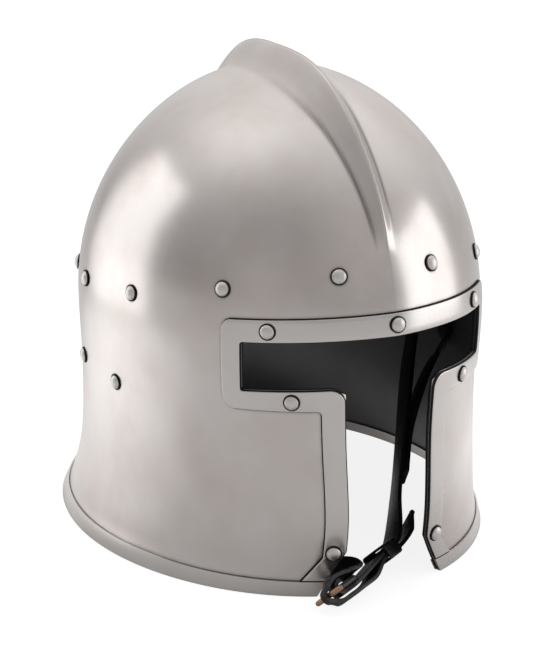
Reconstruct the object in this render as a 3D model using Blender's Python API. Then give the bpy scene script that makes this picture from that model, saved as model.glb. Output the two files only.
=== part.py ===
"""Barbute: an open-faced steel helmet with a combed bowl, a T-shaped face opening and a chin strap.

It stands on its rim on the floor at z = 0, its face looks along -Y and the wearer's left is +X.
Sizes are in millimetres, measured with the origin under the bowl's apex line; the meshes are in metres.
"""
import math

import bpy
import bmesh
from mathutils import Vector

MM = 0.001

# Bowl without its comb.
HALF_WIDTH = 110.7
FRONT_REACH = 140.2
BACK_REACH = 109.1
SPRING_HEIGHT = 140.0
BOWL_HEIGHT = 264.5
APEX_Y = 2.0
WIDEST_Y = 15.8
SECTION_POWER = 1.97
WALL = 1.8

# Wall below the springing: shares of the spring height, half width, front reach and back reach.
WALL_SECTIONS = (
    # name, height, width, front, back
    ("rim", 0.0, 1.058, 0.940, 1.515),
    ("flare", 0.107, 1.014, 0.951, 1.394),
    ("nape", 0.321, 0.977, 0.983, 1.228),
    ("waist", 0.643, 0.978, 0.978, 1.100),
    ("spring", 1.0, 1.0, 1.0, 1.0),
)

# Dome above the springing: how far each reach leans in from the start, and how full it is.
DOME_LEAN = {"width": 0.0, "front": -0.07, "back": 0.51}
DOME_POWER = {"width": 2.0, "front": 2.19, "back": 2.47}

# Comb over the crown, by angle from straight ahead over the top to straight back.
COMB_STATIONS = (
    # name, angle, rise, half width
    ("toe", 21.0, 0.0, 8.0),
    ("toe rise", 26.0, 3.2, 8.5),
    ("forehead", 38.0, 7.0, 11.0),
    ("shoulder", 52.0, 12.0, 14.0),
    ("front crown", 66.0, 15.5, 16.0),
    ("crown", 90.0, 12.4, 17.0),
    ("rear crown", 115.0, 13.2, 17.0),
    ("occiput", 140.0, 14.5, 17.0),
    ("nape end", 186.0, 0.0, 14.0),
)
KEEL_RISE = 1.6
KEEL_HALF_WIDTH = 34.0
KEEL_END_ANGLE = 60.0

# Face opening, as distances round the face from the centre line and heights at the centre line.
SIGHT_TILT = 0.11
SIGHT_TOP = 147.4
SIGHT_BOTTOM = 121.0
SIGHT_HALF_SPAN = 83.0
NASAL_HALF_GAP = 26.7
CHEEK_HALF_GAP = 24.4
CHEEK_CUT_HEIGHT = 26.4
CHEEK_CUT_HALF_GAP = 37.2
NASAL_CORNER_RADIUS = 5.0
CHEEK_CUT_RADIUS = 2.0
SIGHT_CORNER_RADIUS = 1.0

# Steel strip round the opening and band over the rim.
GAP = 0.3
TRIM_WIDTH = 13.0
TRIM_SIDE_WIDTH = 12.0
TRIM_UNDER_WIDTH = 11.6
TRIM_THICKNESS = 1.4
TRIM_UPPER_RADIUS = 5.7
TRIM_LOWER_RADIUS = 8.5
TRIM_NASAL_RADIUS = 2.0
BAND_THICKNESS = 1.0
BAND_HEIGHT = 8.6
BAND_INNER_HEIGHT = 7.0
SHELL_BOTTOM = BAND_THICKNESS + GAP

# Rivets.
RIVET_RADIUS = 3.9
RIVET_RISE = 2.4
TRIM_RIVETS = (
    # name, distance round the face, height
    ("trim_rivet_brow_centre", 0.0, SIGHT_TOP + 0.5 * TRIM_WIDTH),
    ("trim_rivet_brow_left", SIGHT_HALF_SPAN - 15.0, SIGHT_TOP + 0.5 * TRIM_WIDTH),
    ("trim_rivet_brow_right", 15.0 - SIGHT_HALF_SPAN, SIGHT_TOP + 0.5 * TRIM_WIDTH),
    ("trim_rivet_sight_left", SIGHT_HALF_SPAN - 28.0, SIGHT_BOTTOM - 0.5 * TRIM_WIDTH),
    ("trim_rivet_sight_right", 28.0 - SIGHT_HALF_SPAN, SIGHT_BOTTOM - 0.5 * TRIM_WIDTH),
    ("trim_rivet_cheek_left", CHEEK_HALF_GAP + 7.2, CHEEK_CUT_HEIGHT + 0.2),
    ("trim_rivet_cheek_right", -CHEEK_HALF_GAP - 7.2, CHEEK_CUT_HEIGHT + 0.2),
)
BOWL_RIVETS = (
    # name, angle round from straight ahead, height
    ("liner_rivet_front", 15.4, 180.2),
    ("liner_rivet_temple", 45.5, 170.1),
    ("liner_rivet_side", 71.5, 155.7),
    ("liner_rivet_ear", 91.9, 151.1),
    ("liner_rivet_rear", 112.0, 151.5),
    ("liner_rivet_nape", 136.0, 150.0),
    ("liner_rivet_back", 163.0, 150.0),
    ("strap_rivet_front", 78.9, 98.9),
    ("strap_rivet_rear", 99.6, 101.3),
)

# Chin strap and buckle.
STRAP_WIDTH = 14.0
STRAP_THICKNESS = 2.4
STRAP_CLEARANCE = 0.5
WALL_CLEARANCE = 1.2
STRAP_LEGS = (
    # name, rivet angle and height, tab angle and height, angle and height where it leaves the wall
    ("front leg", 78.9, 98.9, 82.2, 104.0, 76.3, 95.0),
    ("rear leg", 99.6, 101.3, 103.2, 106.0, 96.5, 97.5),
)
JOIN_SIDE = Vector((0.75, -0.29, -0.59))
BUCKLE_CENTRE = (-35.4, -FRONT_REACH - 3.3, SHELL_BOTTOM + 10.1)
FASTENING_AZIMUTH = 34.5
FASTENING_LEAN = 42.3
KEEPER_DISTANCE = 52.0
KEEPER_LENGTH = 13.0
KEEPER_WALL = 1.4
KEEPER_SLACK = 0.6
KEEPER_SPLIT = 0.5 * (STRAP_THICKNESS + STRAP_CLEARANCE)
BAR_RADIUS = 1.5
FRAME_ROD_RADIUS = 1.5
FRAME_LENGTH = 14.0
FRAME_WIDTH = 19.0

# Mesh fineness.
COMB_COLUMNS = 3
NASAL_COLUMNS = 2
CHEEK_COLUMNS = 5
CORNER_COLUMNS = 1
SIDE_COLUMNS = 18
ROWS_CUT = 2
ROWS_CHEEK = 5
ROWS_SIGHT = 2
ROWS_BROW = 4
PATCH_HEIGHT = 200.0
COMB_SHARE = 0.17
NASAL_SHARE = 0.33
SIGHT_SHARE = 0.92


def lerp(a, b, t):
    """Straight interpolation."""
    return a + (b - a) * t


def clamp(value, low, high):
    """Value held between two limits."""
    return max(low, min(high, value))


def linspace(start, stop, count):
    """Evenly spaced values, count steps, both ends included."""
    return [lerp(start, stop, i / count) for i in range(count + 1)]


def smooth_curve(knots, values, at, end_slope=None):
    """Cubic Hermite curve through a short table."""
    last = len(knots) - 1
    slopes = []
    for i in range(last + 1):
        low = max(i - 1, 0)
        high = min(i + 1, last)
        slopes.append((values[high] - values[low]) / (knots[high] - knots[low]))
    if end_slope is not None:
        slopes[last] = end_slope
    at = clamp(at, knots[0], knots[last])
    i = 0
    while i < last - 1 and at > knots[i + 1]:
        i += 1
    span = knots[i + 1] - knots[i]
    t = (at - knots[i]) / span
    start = (1 + 2 * t) * (1 - t) ** 2 * values[i] + t * (1 - t) ** 2 * span * slopes[i]
    end = t * t * (3 - 2 * t) * values[i + 1] + t * t * (t - 1) * span * slopes[i + 1]
    return start + end


def dome_share(t, side):
    """Share of a reach left at height share t of the dome."""
    lean = DOME_LEAN[side]
    return max(0.0, 1.0 - lean * t - (1.0 - lean) * t * t) ** (1.0 / DOME_POWER[side])


def wall_share(z, side):
    """Share of a reach at height z below the springing."""
    column = {"width": 2, "front": 3, "back": 4}[side]
    knots = [row[1] for row in WALL_SECTIONS]
    values = [row[column] for row in WALL_SECTIONS]
    slope = -DOME_LEAN[side] / DOME_POWER[side] * SPRING_HEIGHT / (BOWL_HEIGHT - SPRING_HEIGHT)
    return smooth_curve(knots, values, z / SPRING_HEIGHT, slope)


def section(z):
    """Half width, front y, back y and the y of the widest point at height z."""
    if z <= SPRING_HEIGHT:
        half = HALF_WIDTH * wall_share(z, "width")
        front = -FRONT_REACH * wall_share(z, "front")
        back = BACK_REACH * wall_share(z, "back")
        return half, front, back, WIDEST_Y
    t = min(1.0, (z - SPRING_HEIGHT) / (BOWL_HEIGHT - SPRING_HEIGHT))
    half = HALF_WIDTH * dome_share(t, "width")
    front = APEX_Y - (FRONT_REACH + APEX_Y) * dome_share(t, "front")
    back = APEX_Y + (BACK_REACH - APEX_Y) * dome_share(t, "back")
    return half, front, back, lerp(WIDEST_Y, APEX_Y, t * t)


def plain_point(phi, z):
    """Point of the bowl without comb; phi runs from straight ahead towards the wearer's left."""
    half, front, back, middle = section(z)
    s = math.sin(phi)
    c = math.cos(phi)
    power = 2.0 / SECTION_POWER
    x = half * math.copysign(abs(s) ** power, s)
    reach = (front if c > 0 else back) - middle
    return Vector((x, middle + reach * abs(c) ** power, z))


def crown_angle(y, z):
    """Angle in degrees from straight ahead, over the crown, to straight back."""
    angle = math.degrees(math.atan2(z - SPRING_HEIGHT, APEX_Y - y))
    return angle + 360.0 if angle < -90.0 else angle


def comb_lift(point):
    """Height of comb and keel over the plain bowl at a point."""
    angle = crown_angle(point.y, point.z)
    lift = 0.0
    angles = [row[1] for row in COMB_STATIONS]
    if angles[0] < angle < angles[-1]:
        rise = max(0.0, smooth_curve(angles, [row[2] for row in COMB_STATIONS], angle))
        half = smooth_curve(angles, [row[3] for row in COMB_STATIONS], angle)
        t = abs(point.x) / half
        if t < 1.0:
            lift += rise * 0.5 * (1.0 + math.cos(math.pi * t))
    if angle < KEEL_END_ANGLE:
        fade = clamp((KEEL_END_ANGLE - angle) / KEEL_END_ANGLE, 0.0, 1.0)
        t = abs(point.x) / KEEL_HALF_WIDTH
        if t < 1.0:
            lift += KEEL_RISE * min(1.0, 2.0 * fade) * (1.0 - t) ** 1.6
    return lift


def lift_direction(point):
    """Outward direction of the comb in the plane of symmetry."""
    reach = FRONT_REACH if point.y < APEX_Y else BACK_REACH
    rise = max(0.0, point.z - SPRING_HEIGHT) / (BOWL_HEIGHT - SPRING_HEIGHT) ** 2
    return Vector((0.0, (point.y - APEX_Y) / reach ** 2, rise + 1e-9)).normalized()


def bowl_point(phi, z):
    """Point of the bowl's outside."""
    point = plain_point(phi, z)
    lift = comb_lift(point)
    if lift > 0.0:
        point = point + lift_direction(point) * lift
    return point


def bowl_normal(phi, z):
    """Outward normal of the bowl at a point below its crown."""
    step = 0.004
    across = bowl_point(phi + step, z) - bowl_point(phi - step, z)
    up = bowl_point(phi, z + 0.5) - bowl_point(phi, z - 0.5)
    return across.cross(up).normalized()


def girth_table():
    """Distance round the face from the centre line, by angle, at the sight."""
    steps = 240
    level = 0.5 * (SIGHT_TOP + SIGHT_BOTTOM)
    angles = linspace(0.0, math.pi / 2.0, steps)
    lengths = [0.0]
    previous = plain_point(angles[0], level)
    for angle in angles[1:]:
        point = plain_point(angle, level)
        lengths.append(lengths[-1] + (point - previous).length)
        previous = point
    return angles, lengths


GIRTH_ANGLES, GIRTH_LENGTHS = girth_table()


def girth_angle(distance):
    """Angle round from straight ahead for a distance round the face."""
    size = abs(distance)
    for i in range(1, len(GIRTH_LENGTHS)):
        if GIRTH_LENGTHS[i] >= size:
            t = (size - GIRTH_LENGTHS[i - 1]) / (GIRTH_LENGTHS[i] - GIRTH_LENGTHS[i - 1])
            return math.copysign(lerp(GIRTH_ANGLES[i - 1], GIRTH_ANGLES[i], t), distance)
    return math.copysign(GIRTH_ANGLES[-1], distance)


def tilted_height(phi, height):
    """Height of a face line at angle phi: level at the rim, falling to the back at the sight."""
    if height <= SIGHT_BOTTOM:
        weight = max(0.0, (height - SHELL_BOTTOM) / (SIGHT_BOTTOM - SHELL_BOTTOM))
    elif height <= SIGHT_TOP + TRIM_WIDTH:
        weight = 1.0
    else:
        weight = max(0.0, (PATCH_HEIGHT - height) / (PATCH_HEIGHT - SIGHT_TOP - TRIM_WIDTH))
    z = height
    for _ in range(3):
        z = height - weight * SIGHT_TILT * (min(plain_point(phi, z).y, 0.0) - section(height)[1])
    return z


def face_point(distance, height, lift=0.0):
    """Point over the face, from its distance round the face and its height at the centre line."""
    phi = girth_angle(distance)
    z = tilted_height(phi, height)
    point = bowl_point(phi, z)
    return point + bowl_normal(phi, z) * lift if lift else point


def half_gap(height):
    """Half width of the nasal opening at a height, with the cut-off cheek corners."""
    if height < CHEEK_CUT_HEIGHT:
        return lerp(CHEEK_CUT_HALF_GAP, CHEEK_HALF_GAP, max(height, 0.0) / CHEEK_CUT_HEIGHT)
    t = (height - CHEEK_CUT_HEIGHT) / (SIGHT_BOTTOM - CHEEK_CUT_HEIGHT)
    return lerp(CHEEK_HALF_GAP, NASAL_HALF_GAP, min(t, 1.0))


def material(name, color, metallic, roughness):
    """Plain Principled material."""
    mat = bpy.data.materials.new(name)
    mat.use_nodes = True
    shader = mat.node_tree.nodes["Principled BSDF"]
    shader.inputs["Base Color"].default_value = (*color, 1.0)
    shader.inputs["Metallic"].default_value = metallic
    shader.inputs["Roughness"].default_value = roughness
    mat.diffuse_color = (*color, 1.0)
    return mat


class Pieces:
    """Meshes collected in millimetres and turned into centred objects at the end."""

    def __init__(self):
        self.items = []

    def add(self, name, points, faces, look, smooth=True):
        """Keep one closed body with its look."""
        self.items.append((name, [Vector(p) for p in points], faces, look, smooth))

    def build(self):
        """Create the objects, the whole assembly centred over the origin."""
        xs = [p.x for item in self.items for p in item[1]]
        ys = [p.y for item in self.items for p in item[1]]
        shift = Vector((-0.5 * (min(xs) + max(xs)), -0.5 * (min(ys) + max(ys)), 0.0))
        for name, points, faces, look, smooth in self.items:
            bm = bmesh.new()
            verts = [bm.verts.new((p + shift) * MM) for p in points]
            for face in faces:
                bm.faces.new([verts[i] for i in face])
            bmesh.ops.recalc_face_normals(bm, faces=bm.faces)
            for face in bm.faces:
                face.smooth = smooth
            mesh = bpy.data.meshes.new(name)
            bm.to_mesh(mesh)
            bm.free()
            mesh.materials.append(material(name, *look))
            bpy.context.collection.objects.link(bpy.data.objects.new(name, mesh))


STEEL = ((0.56, 0.54, 0.52), 1.0, 0.34)
BRIGHT_STEEL = ((0.62, 0.60, 0.58), 1.0, 0.26)
LEATHER = ((0.02, 0.018, 0.017), 0.0, 0.5)
DARK_METAL = ((0.05, 0.045, 0.04), 1.0, 0.4)
BRONZE = ((0.42, 0.27, 0.18), 1.0, 0.35)


def column_shares():
    """Shares across the front of the patch, from the right corner to the left corner."""
    half = linspace(0.0, COMB_SHARE, COMB_COLUMNS)
    half += linspace(COMB_SHARE, NASAL_SHARE, NASAL_COLUMNS)[1:]
    half += linspace(NASAL_SHARE, SIGHT_SHARE, CHEEK_COLUMNS)[1:]
    half += linspace(SIGHT_SHARE, 1.0, CORNER_COLUMNS)[1:]
    return [-s for s in reversed(half[1:])] + half


def disk(s, t):
    """Square to disk: the square's centre line stays straight."""
    return s * math.sqrt(1.0 - 0.5 * t * t), t * math.sqrt(1.0 - 0.5 * s * s)


def patch_point(s, t):
    """Point of the dome's cap from a place in the square, front at t = -1."""
    x, y = disk(s, t)
    radius = math.hypot(x, y)
    target = radius * section(PATCH_HEIGHT)[0]
    low = PATCH_HEIGHT
    high = BOWL_HEIGHT
    for _ in range(50):
        z = 0.5 * (low + high)
        if section(z)[0] > target:
            low = z
        else:
            high = z
    if radius < 1e-9:
        low = BOWL_HEIGHT
    return bowl_point(math.atan2(x, -y), low)


def row_heights():
    """Heights of the rows at the centre line, from the rim to the cap."""
    rows = linspace(SHELL_BOTTOM, CHEEK_CUT_HEIGHT, ROWS_CUT)
    rows += linspace(CHEEK_CUT_HEIGHT, SIGHT_BOTTOM, ROWS_CHEEK)[1:]
    rows += linspace(SIGHT_BOTTOM, SIGHT_TOP, ROWS_SIGHT)[1:]
    rows += linspace(SIGHT_TOP, PATCH_HEIGHT, ROWS_BROW)[1:]
    return rows


def front_girth(share, height):
    """Distance round the face of a front column at a height."""
    size = abs(share)
    gap = half_gap(height)
    corner = GIRTH_LENGTHS[len(GIRTH_LENGTHS) // 2]
    if size <= NASAL_SHARE:
        distance = gap * size / NASAL_SHARE
    elif size <= SIGHT_SHARE:
        distance = lerp(gap, SIGHT_HALF_SPAN, (size - NASAL_SHARE) / (SIGHT_SHARE - NASAL_SHARE))
    else:
        distance = lerp(SIGHT_HALF_SPAN, corner, (size - SIGHT_SHARE) / (1.0 - SIGHT_SHARE))
    return math.copysign(distance, share)


def rim_columns():
    """Places of the ring's columns in the square: front, left side, back, right side."""
    across = column_shares()
    along = linspace(-1.0, 1.0, SIDE_COLUMNS)
    ring = [(s, -1.0) for s in across]
    ring += [(1.0, t) for t in along[1:]]
    ring += [(s, 1.0) for s in reversed(across[:-1])]
    ring += [(-1.0, t) for t in reversed(along[1:-1])]
    return ring


def column_angle(s, t, height):
    """Angle of a column: tied to the opening at the face, to the patch at the cap."""
    x, y = disk(s, t)
    patch_angle = math.atan2(x, -y)
    if t > -1.0:
        return patch_angle
    blend = clamp((height - SIGHT_TOP) / (PATCH_HEIGHT - SIGHT_TOP), 0.0, 1.0)
    return lerp(girth_angle(front_girth(s, height)), patch_angle, blend)


def corner_fix(s, height, distance):
    """Nasal corner of the plate pulled onto its rounding."""
    on_corner = abs(abs(s) - NASAL_SHARE) < 1e-9 and abs(height - SIGHT_BOTTOM) < 1e-9
    if not on_corner:
        return distance, height
    cut = NASAL_CORNER_RADIUS * (1.0 - math.sqrt(0.5)) + 0.3
    return math.copysign(abs(distance) + cut, distance), height - cut


def skull_sheet():
    """Outside of the skull as points and quads, with the face opening left out."""
    ring = rim_columns()
    rows = row_heights()
    points = []
    index = {}

    def keep(key, point):
        index[key] = len(points)
        points.append(point)

    for r, height in enumerate(rows):
        for k, (s, t) in enumerate(ring):
            in_gap = t == -1.0 and abs(s) < NASAL_SHARE - 1e-9 and height < SIGHT_TOP - 1e-9
            in_sight = t == -1.0 and abs(s) < SIGHT_SHARE - 1e-9
            in_sight = in_sight and SIGHT_BOTTOM + 1e-9 < height < SIGHT_TOP - 1e-9
            if in_gap or in_sight:
                continue
            if t == -1.0 and height <= SIGHT_TOP:
                distance, level = corner_fix(s, height, front_girth(s, height))
                keep((r, k), face_point(distance, level))
                continue
            phi = column_angle(s, t, height)
            keep((r, k), bowl_point(phi, tilted_height(phi, height)))
    across = column_shares()
    along = linspace(-1.0, 1.0, SIDE_COLUMNS)
    last = len(rows) - 1
    place = {pair: (last, k) for k, pair in enumerate(ring)}
    for i, s in enumerate(across):
        for j, t in enumerate(along):
            if (s, t) not in place:
                place[(s, t)] = ("cap", i, j)
                keep(("cap", i, j), patch_point(s, t))
    faces = []
    count = len(ring)
    for r in range(last):
        for k in range(count):
            keys = [(r, k), (r, (k + 1) % count), (r + 1, (k + 1) % count), (r + 1, k)]
            if all(key in index for key in keys) and not open_cell(ring, rows, r, k):
                faces.append([index[key] for key in keys])
    for i in range(len(across) - 1):
        for j in range(len(along) - 1):
            cell = ((i, j), (i + 1, j), (i + 1, j + 1), (i, j + 1))
            faces.append([index[place[(across[a], along[b])]] for a, b in cell])
    return points, faces


def open_cell(ring, rows, r, k):
    """True where a cell of the ring lies in the face opening."""
    s0, t0 = ring[k]
    s1, t1 = ring[(k + 1) % len(ring)]
    if t0 != -1.0 or t1 != -1.0:
        return False
    size = max(abs(s0), abs(s1)) - 1e-9
    height = 0.5 * (rows[r] + rows[r + 1])
    if height < SIGHT_BOTTOM:
        return size < NASAL_SHARE
    return height < SIGHT_TOP and size < SIGHT_SHARE


def thicken(points, faces, wall, floor):
    """Closed shell from an outside sheet; the lower edge stays level at the floor height."""
    bm = bmesh.new()
    verts = [bm.verts.new(p) for p in points]
    for face in faces:
        bm.faces.new([verts[i] for i in face])
    bmesh.ops.recalc_face_normals(bm, faces=bm.faces)
    bm.normal_update()
    top = max(bm.verts, key=lambda v: v.co.z)
    sign = 1.0 if top.normal.z > 0 else -1.0
    inner = []
    for v, p in zip(verts, points):
        q = p - v.normal * wall * sign
        if abs(p.z - floor) < 1e-6:
            flat = Vector((v.normal.x, v.normal.y, 0.0)).normalized()
            q = p - flat * wall * sign
        inner.append(q)
    edges = {}
    for face in faces:
        for a, b in zip(face, face[1:] + face[:1]):
            edges[(a, b)] = True
    base = len(points)
    closed = [list(face) for face in faces]
    closed += [[base + i for i in reversed(face)] for face in faces]
    for a, b in edges:
        if (b, a) not in edges:
            closed.append([b, a, base + a, base + b])
    bm.free()
    return points + inner, closed


def add_skull(pieces):
    """Bowl, cheeks and nape in one sheet of steel."""
    points, faces = skull_sheet()
    points, faces = thicken(points, faces, WALL, SHELL_BOTTOM)
    pieces.add("skull", points, faces, STEEL)


def trim_corners():
    """Corners of the strip on the wearer's left, from the foot to the brow."""
    foot = BAND_HEIGHT + GAP
    outer_cut = CHEEK_CUT_HEIGHT - TRIM_WIDTH * 0.21
    return (
        # inner distance, inner height, inner radius, outer distance, outer height, outer radius
        (half_gap(foot), foot, 0.0, half_gap(foot) + TRIM_WIDTH * 1.12, foot, 0.0),
        (CHEEK_HALF_GAP, CHEEK_CUT_HEIGHT, CHEEK_CUT_RADIUS,
         CHEEK_HALF_GAP + TRIM_WIDTH, outer_cut, CHEEK_CUT_RADIUS),
        (NASAL_HALF_GAP, SIGHT_BOTTOM, NASAL_CORNER_RADIUS,
         NASAL_HALF_GAP + TRIM_WIDTH, SIGHT_BOTTOM - TRIM_WIDTH, TRIM_NASAL_RADIUS),
        (SIGHT_HALF_SPAN, SIGHT_BOTTOM, SIGHT_CORNER_RADIUS,
         SIGHT_HALF_SPAN + TRIM_SIDE_WIDTH, SIGHT_BOTTOM - TRIM_UNDER_WIDTH, TRIM_LOWER_RADIUS),
        (SIGHT_HALF_SPAN, SIGHT_TOP, SIGHT_CORNER_RADIUS,
         SIGHT_HALF_SPAN + TRIM_SIDE_WIDTH, SIGHT_TOP + TRIM_WIDTH, TRIM_UPPER_RADIUS),
        (0.0, SIGHT_TOP, 0.0, 0.0, SIGHT_TOP + TRIM_WIDTH, 0.0),
    )


def rounded_path(corners, radii, arc_steps, leg_steps):
    """Polyline with its inner corners rounded; each leg is split into a set number of steps."""
    path = []
    last = len(corners) - 1
    starts = []
    for i, (corner, radius) in enumerate(zip(corners, radii)):
        here = Vector(corner)
        if i in (0, last):
            starts.append([here])
            continue
        back = (Vector(corners[i - 1]) - here).normalized()
        ahead = (Vector(corners[i + 1]) - here).normalized()
        turn = back.angle(ahead)
        reach = radius / math.tan(0.5 * turn)
        centre = here + (back + ahead).normalized() * (radius / math.sin(0.5 * turn))
        first = here + back * reach - centre
        angle = (math.pi - turn) / arc_steps
        spin = 1.0 if back.x * ahead.y - back.y * ahead.x < 0.0 else -1.0
        arc = []
        for step in range(arc_steps + 1):
            a = spin * angle * step
            arc.append(centre + Vector((first.x * math.cos(a) - first.y * math.sin(a),
                                        first.x * math.sin(a) + first.y * math.cos(a))))
        starts.append(arc)
    for i in range(last):
        path += starts[i]
        a = starts[i][-1]
        b = starts[i + 1][0]
        path += [a.lerp(b, step / leg_steps[i]) for step in range(1, leg_steps[i])]
    return path + starts[last]


TRIM_LEG_STEPS = (2, 9, 5, 3, 9)
TRIM_ARC_STEPS = 3


def trim_rails():
    """Inner and outer edge of the whole strip, from the left foot over the brow to the right."""
    table = trim_corners()
    inner = rounded_path([row[0:2] for row in table], [row[2] for row in table],
                         TRIM_ARC_STEPS, TRIM_LEG_STEPS)
    outer = rounded_path([row[3:5] for row in table], [row[5] for row in table],
                         TRIM_ARC_STEPS, TRIM_LEG_STEPS)
    inner += [Vector((-p.x, p.y)) for p in reversed(inner[:-1])]
    outer += [Vector((-p.x, p.y)) for p in reversed(outer[:-1])]
    return inner, outer


def add_trim(pieces):
    """Flat strip round the face opening, a gap off the plate."""
    inner, outer = trim_rails()
    points = []
    sections = []
    for a, b in zip(inner, outer):
        rows = []
        for lift in (GAP, GAP + TRIM_THICKNESS):
            for share in (0.0, 0.5, 1.0):
                place = a.lerp(b, share)
                rows.append(len(points))
                points.append(face_point(place.x, place.y, lift))
        sections.append([rows[0], rows[1], rows[2], rows[5], rows[4], rows[3]])
    pieces.add("face_trim", points, loft(sections), BRIGHT_STEEL, smooth=False)


def loft(sections):
    """Quads between closed sections, with both ends filled."""
    faces = []
    size = len(sections[0])
    for a, b in zip(sections, sections[1:]):
        for i in range(size):
            j = (i + 1) % size
            faces.append([a[i], a[j], b[j], b[i]])
    faces.append(list(reversed(sections[0])))
    faces.append(list(sections[-1]))
    return faces


def closed_loft(sections):
    """Quads between closed sections that run round in a ring."""
    faces = []
    size = len(sections[0])
    for a, b in zip(sections, sections[1:] + sections[:1]):
        for i in range(size):
            j = (i + 1) % size
            faces.append([a[i], a[j], b[j], b[i]])
    return faces


def band_profile():
    """Folded section of the rim band: offsets outward from the plate's outside, and heights."""
    out = GAP + BAND_THICKNESS
    inside = -WALL - GAP
    far = inside - BAND_THICKNESS
    soft = 0.6 * BAND_THICKNESS
    return (
        (GAP, BAND_HEIGHT), (out, BAND_HEIGHT - 0.3), (out, 2.0 * BAND_THICKNESS), (out - soft * 0.6, soft * 0.7),
        (out - 2.0 * soft, 0.0), (far + 2.0 * soft, 0.0), (far + soft * 0.6, soft * 0.7),
        (far, 2.0 * BAND_THICKNESS), (far, BAND_INNER_HEIGHT - 0.3), (inside, BAND_INNER_HEIGHT),
        (inside, BAND_THICKNESS), (GAP, BAND_THICKNESS),
    )


def add_band(pieces):
    """Band folded over the lower edge, from one cut-off front corner round the nape to the other."""
    ring = rim_columns()
    start = next(k for k, (s, t) in enumerate(ring) if t == -1.0 and s > NASAL_SHARE - 1e-9)
    stop = next(k for k, (s, t) in enumerate(ring) if t == -1.0 and s > -NASAL_SHARE - 1e-9)
    order = list(range(start, len(ring))) + list(range(0, stop + 1))
    points = []
    sections = []
    for k in order:
        s, t = ring[k]
        rows = []
        for offset, z in band_profile():
            phi = column_angle(s, t, z)
            normal = bowl_normal(phi, max(z, 1.0))
            flat = Vector((normal.x, normal.y, 0.0)).normalized()
            point = bowl_point(phi, z) + flat * offset
            rows.append(len(points))
            points.append(Vector((point.x, point.y, z)))
        sections.append(rows)
    pieces.add("rim_band", points, loft(sections), BRIGHT_STEEL)


def rivet_head(point, normal, segments=10):
    """Domed head standing on a flat base."""
    side = normal.cross(Vector((0.0, 0.0, 1.0))).normalized()
    up = side.cross(normal)
    rings = ((1.0, 0.0), (1.0, 0.12), (0.82, 0.62), (0.45, 0.93))
    points = []
    faces = []
    for share, rise in rings:
        for i in range(segments):
            a = 2.0 * math.pi * i / segments
            spoke = side * math.cos(a) + up * math.sin(a)
            points.append(point + spoke * RIVET_RADIUS * share + normal * RIVET_RISE * rise)
    for r in range(len(rings) - 1):
        for i in range(segments):
            j = (i + 1) % segments
            low = r * segments
            high = low + segments
            faces.append([low + i, low + j, high + j, high + i])
    top = len(points)
    points.append(point + normal * RIVET_RISE)
    last = (len(rings) - 1) * segments
    for i in range(segments):
        faces.append([last + i, last + (i + 1) % segments, top])
    faces.append(list(reversed(range(segments))))
    return points, faces


def add_rivets(pieces):
    """All rivet heads, a gap off what they sit on."""
    for name, distance, height in TRIM_RIVETS:
        phi = girth_angle(distance)
        normal = bowl_normal(phi, tilted_height(phi, height))
        base = face_point(distance, height, 2.0 * GAP + TRIM_THICKNESS)
        pieces.add(name, *rivet_head(base, normal), BRIGHT_STEEL)
    for name, angle, z in BOWL_RIVETS:
        for side, sign in (("left", 1.0), ("right", -1.0)):
            phi = sign * math.radians(angle)
            normal = bowl_normal(phi, z)
            base = bowl_point(phi, z) + normal * GAP
            pieces.add(name + "_" + side, *rivet_head(base, normal), BRIGHT_STEEL)


def fastening_axes():
    """Run towards the keeper, width direction and face direction of the buckle."""
    azimuth = math.radians(FASTENING_AZIMUTH)
    lean = math.radians(FASTENING_LEAN)
    run = Vector((math.cos(azimuth), math.sin(azimuth), 0.0))
    level = Vector((math.sin(azimuth), -math.cos(azimuth), 0.0))
    width = level * math.cos(lean) + Vector((0.0, 0.0, math.sin(lean)))
    return run, width, width.cross(run)


RUN, ACROSS, FACE = fastening_axes()


def fastening_point(along, out, aside=0.0):
    """Place near the buckle: along the run, out of the strap's face, and aside across its width."""
    return Vector(BUCKLE_CENTRE) + RUN * along + FACE * out + ACROSS * aside


def strap_frames(stations, steps=4):
    """Places, width directions and face directions along a path through a short table of stations."""
    knots = [0.0]
    for (a, _), (b, _) in zip(stations, stations[1:]):
        knots.append(knots[-1] + (b - a).length)
    columns = list(zip(*[(*p, *w) for p, w in stations]))
    at = [knots[0]]
    for low, high in zip(knots, knots[1:]):
        at += linspace(low, high, steps)[1:]
    rows = [[smooth_curve(knots, column, x) for column in columns] for x in at]
    places = [Vector(row[0:3]) for row in rows]
    frames = []
    for i, place in enumerate(places):
        before = places[max(i - 1, 0)]
        after = places[min(i + 1, len(places) - 1)]
        tangent = (after - before).normalized()
        width = Vector(rows[i][3:6])
        width = (width - tangent * width.dot(tangent)).normalized()
        frames.append((place, width, tangent.cross(width)))
    return frames


def ribbon(frames, pointed=0.0):
    """Strap of even width with a flat section, its last stretch drawn to a point if asked."""
    points = []
    sections = []
    places = [frame[0] for frame in frames]
    left = sum((b - a).length for a, b in zip(places, places[1:]))
    for i, (place, width, face) in enumerate(frames):
        half = 0.5 * STRAP_WIDTH
        if pointed > 0.0 and left < pointed:
            half *= max(0.14, left / pointed)
        rows = []
        for w, f in ((1.0, 1.0), (-1.0, 1.0), (-1.0, -1.0), (1.0, -1.0)):
            rows.append(len(points))
            points.append(place + width * half * w + face * 0.5 * STRAP_THICKNESS * f)
        sections.append(rows)
        if i + 1 < len(places):
            left -= (places[i + 1] - place).length
    return points, loft(sections)


def inside_place(across, along, up):
    """Place in the hollow, as shares of the half width, the front reach and the spring height."""
    return Vector((HALF_WIDTH * across, FRONT_REACH * along, SPRING_HEIGHT * up))


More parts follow.
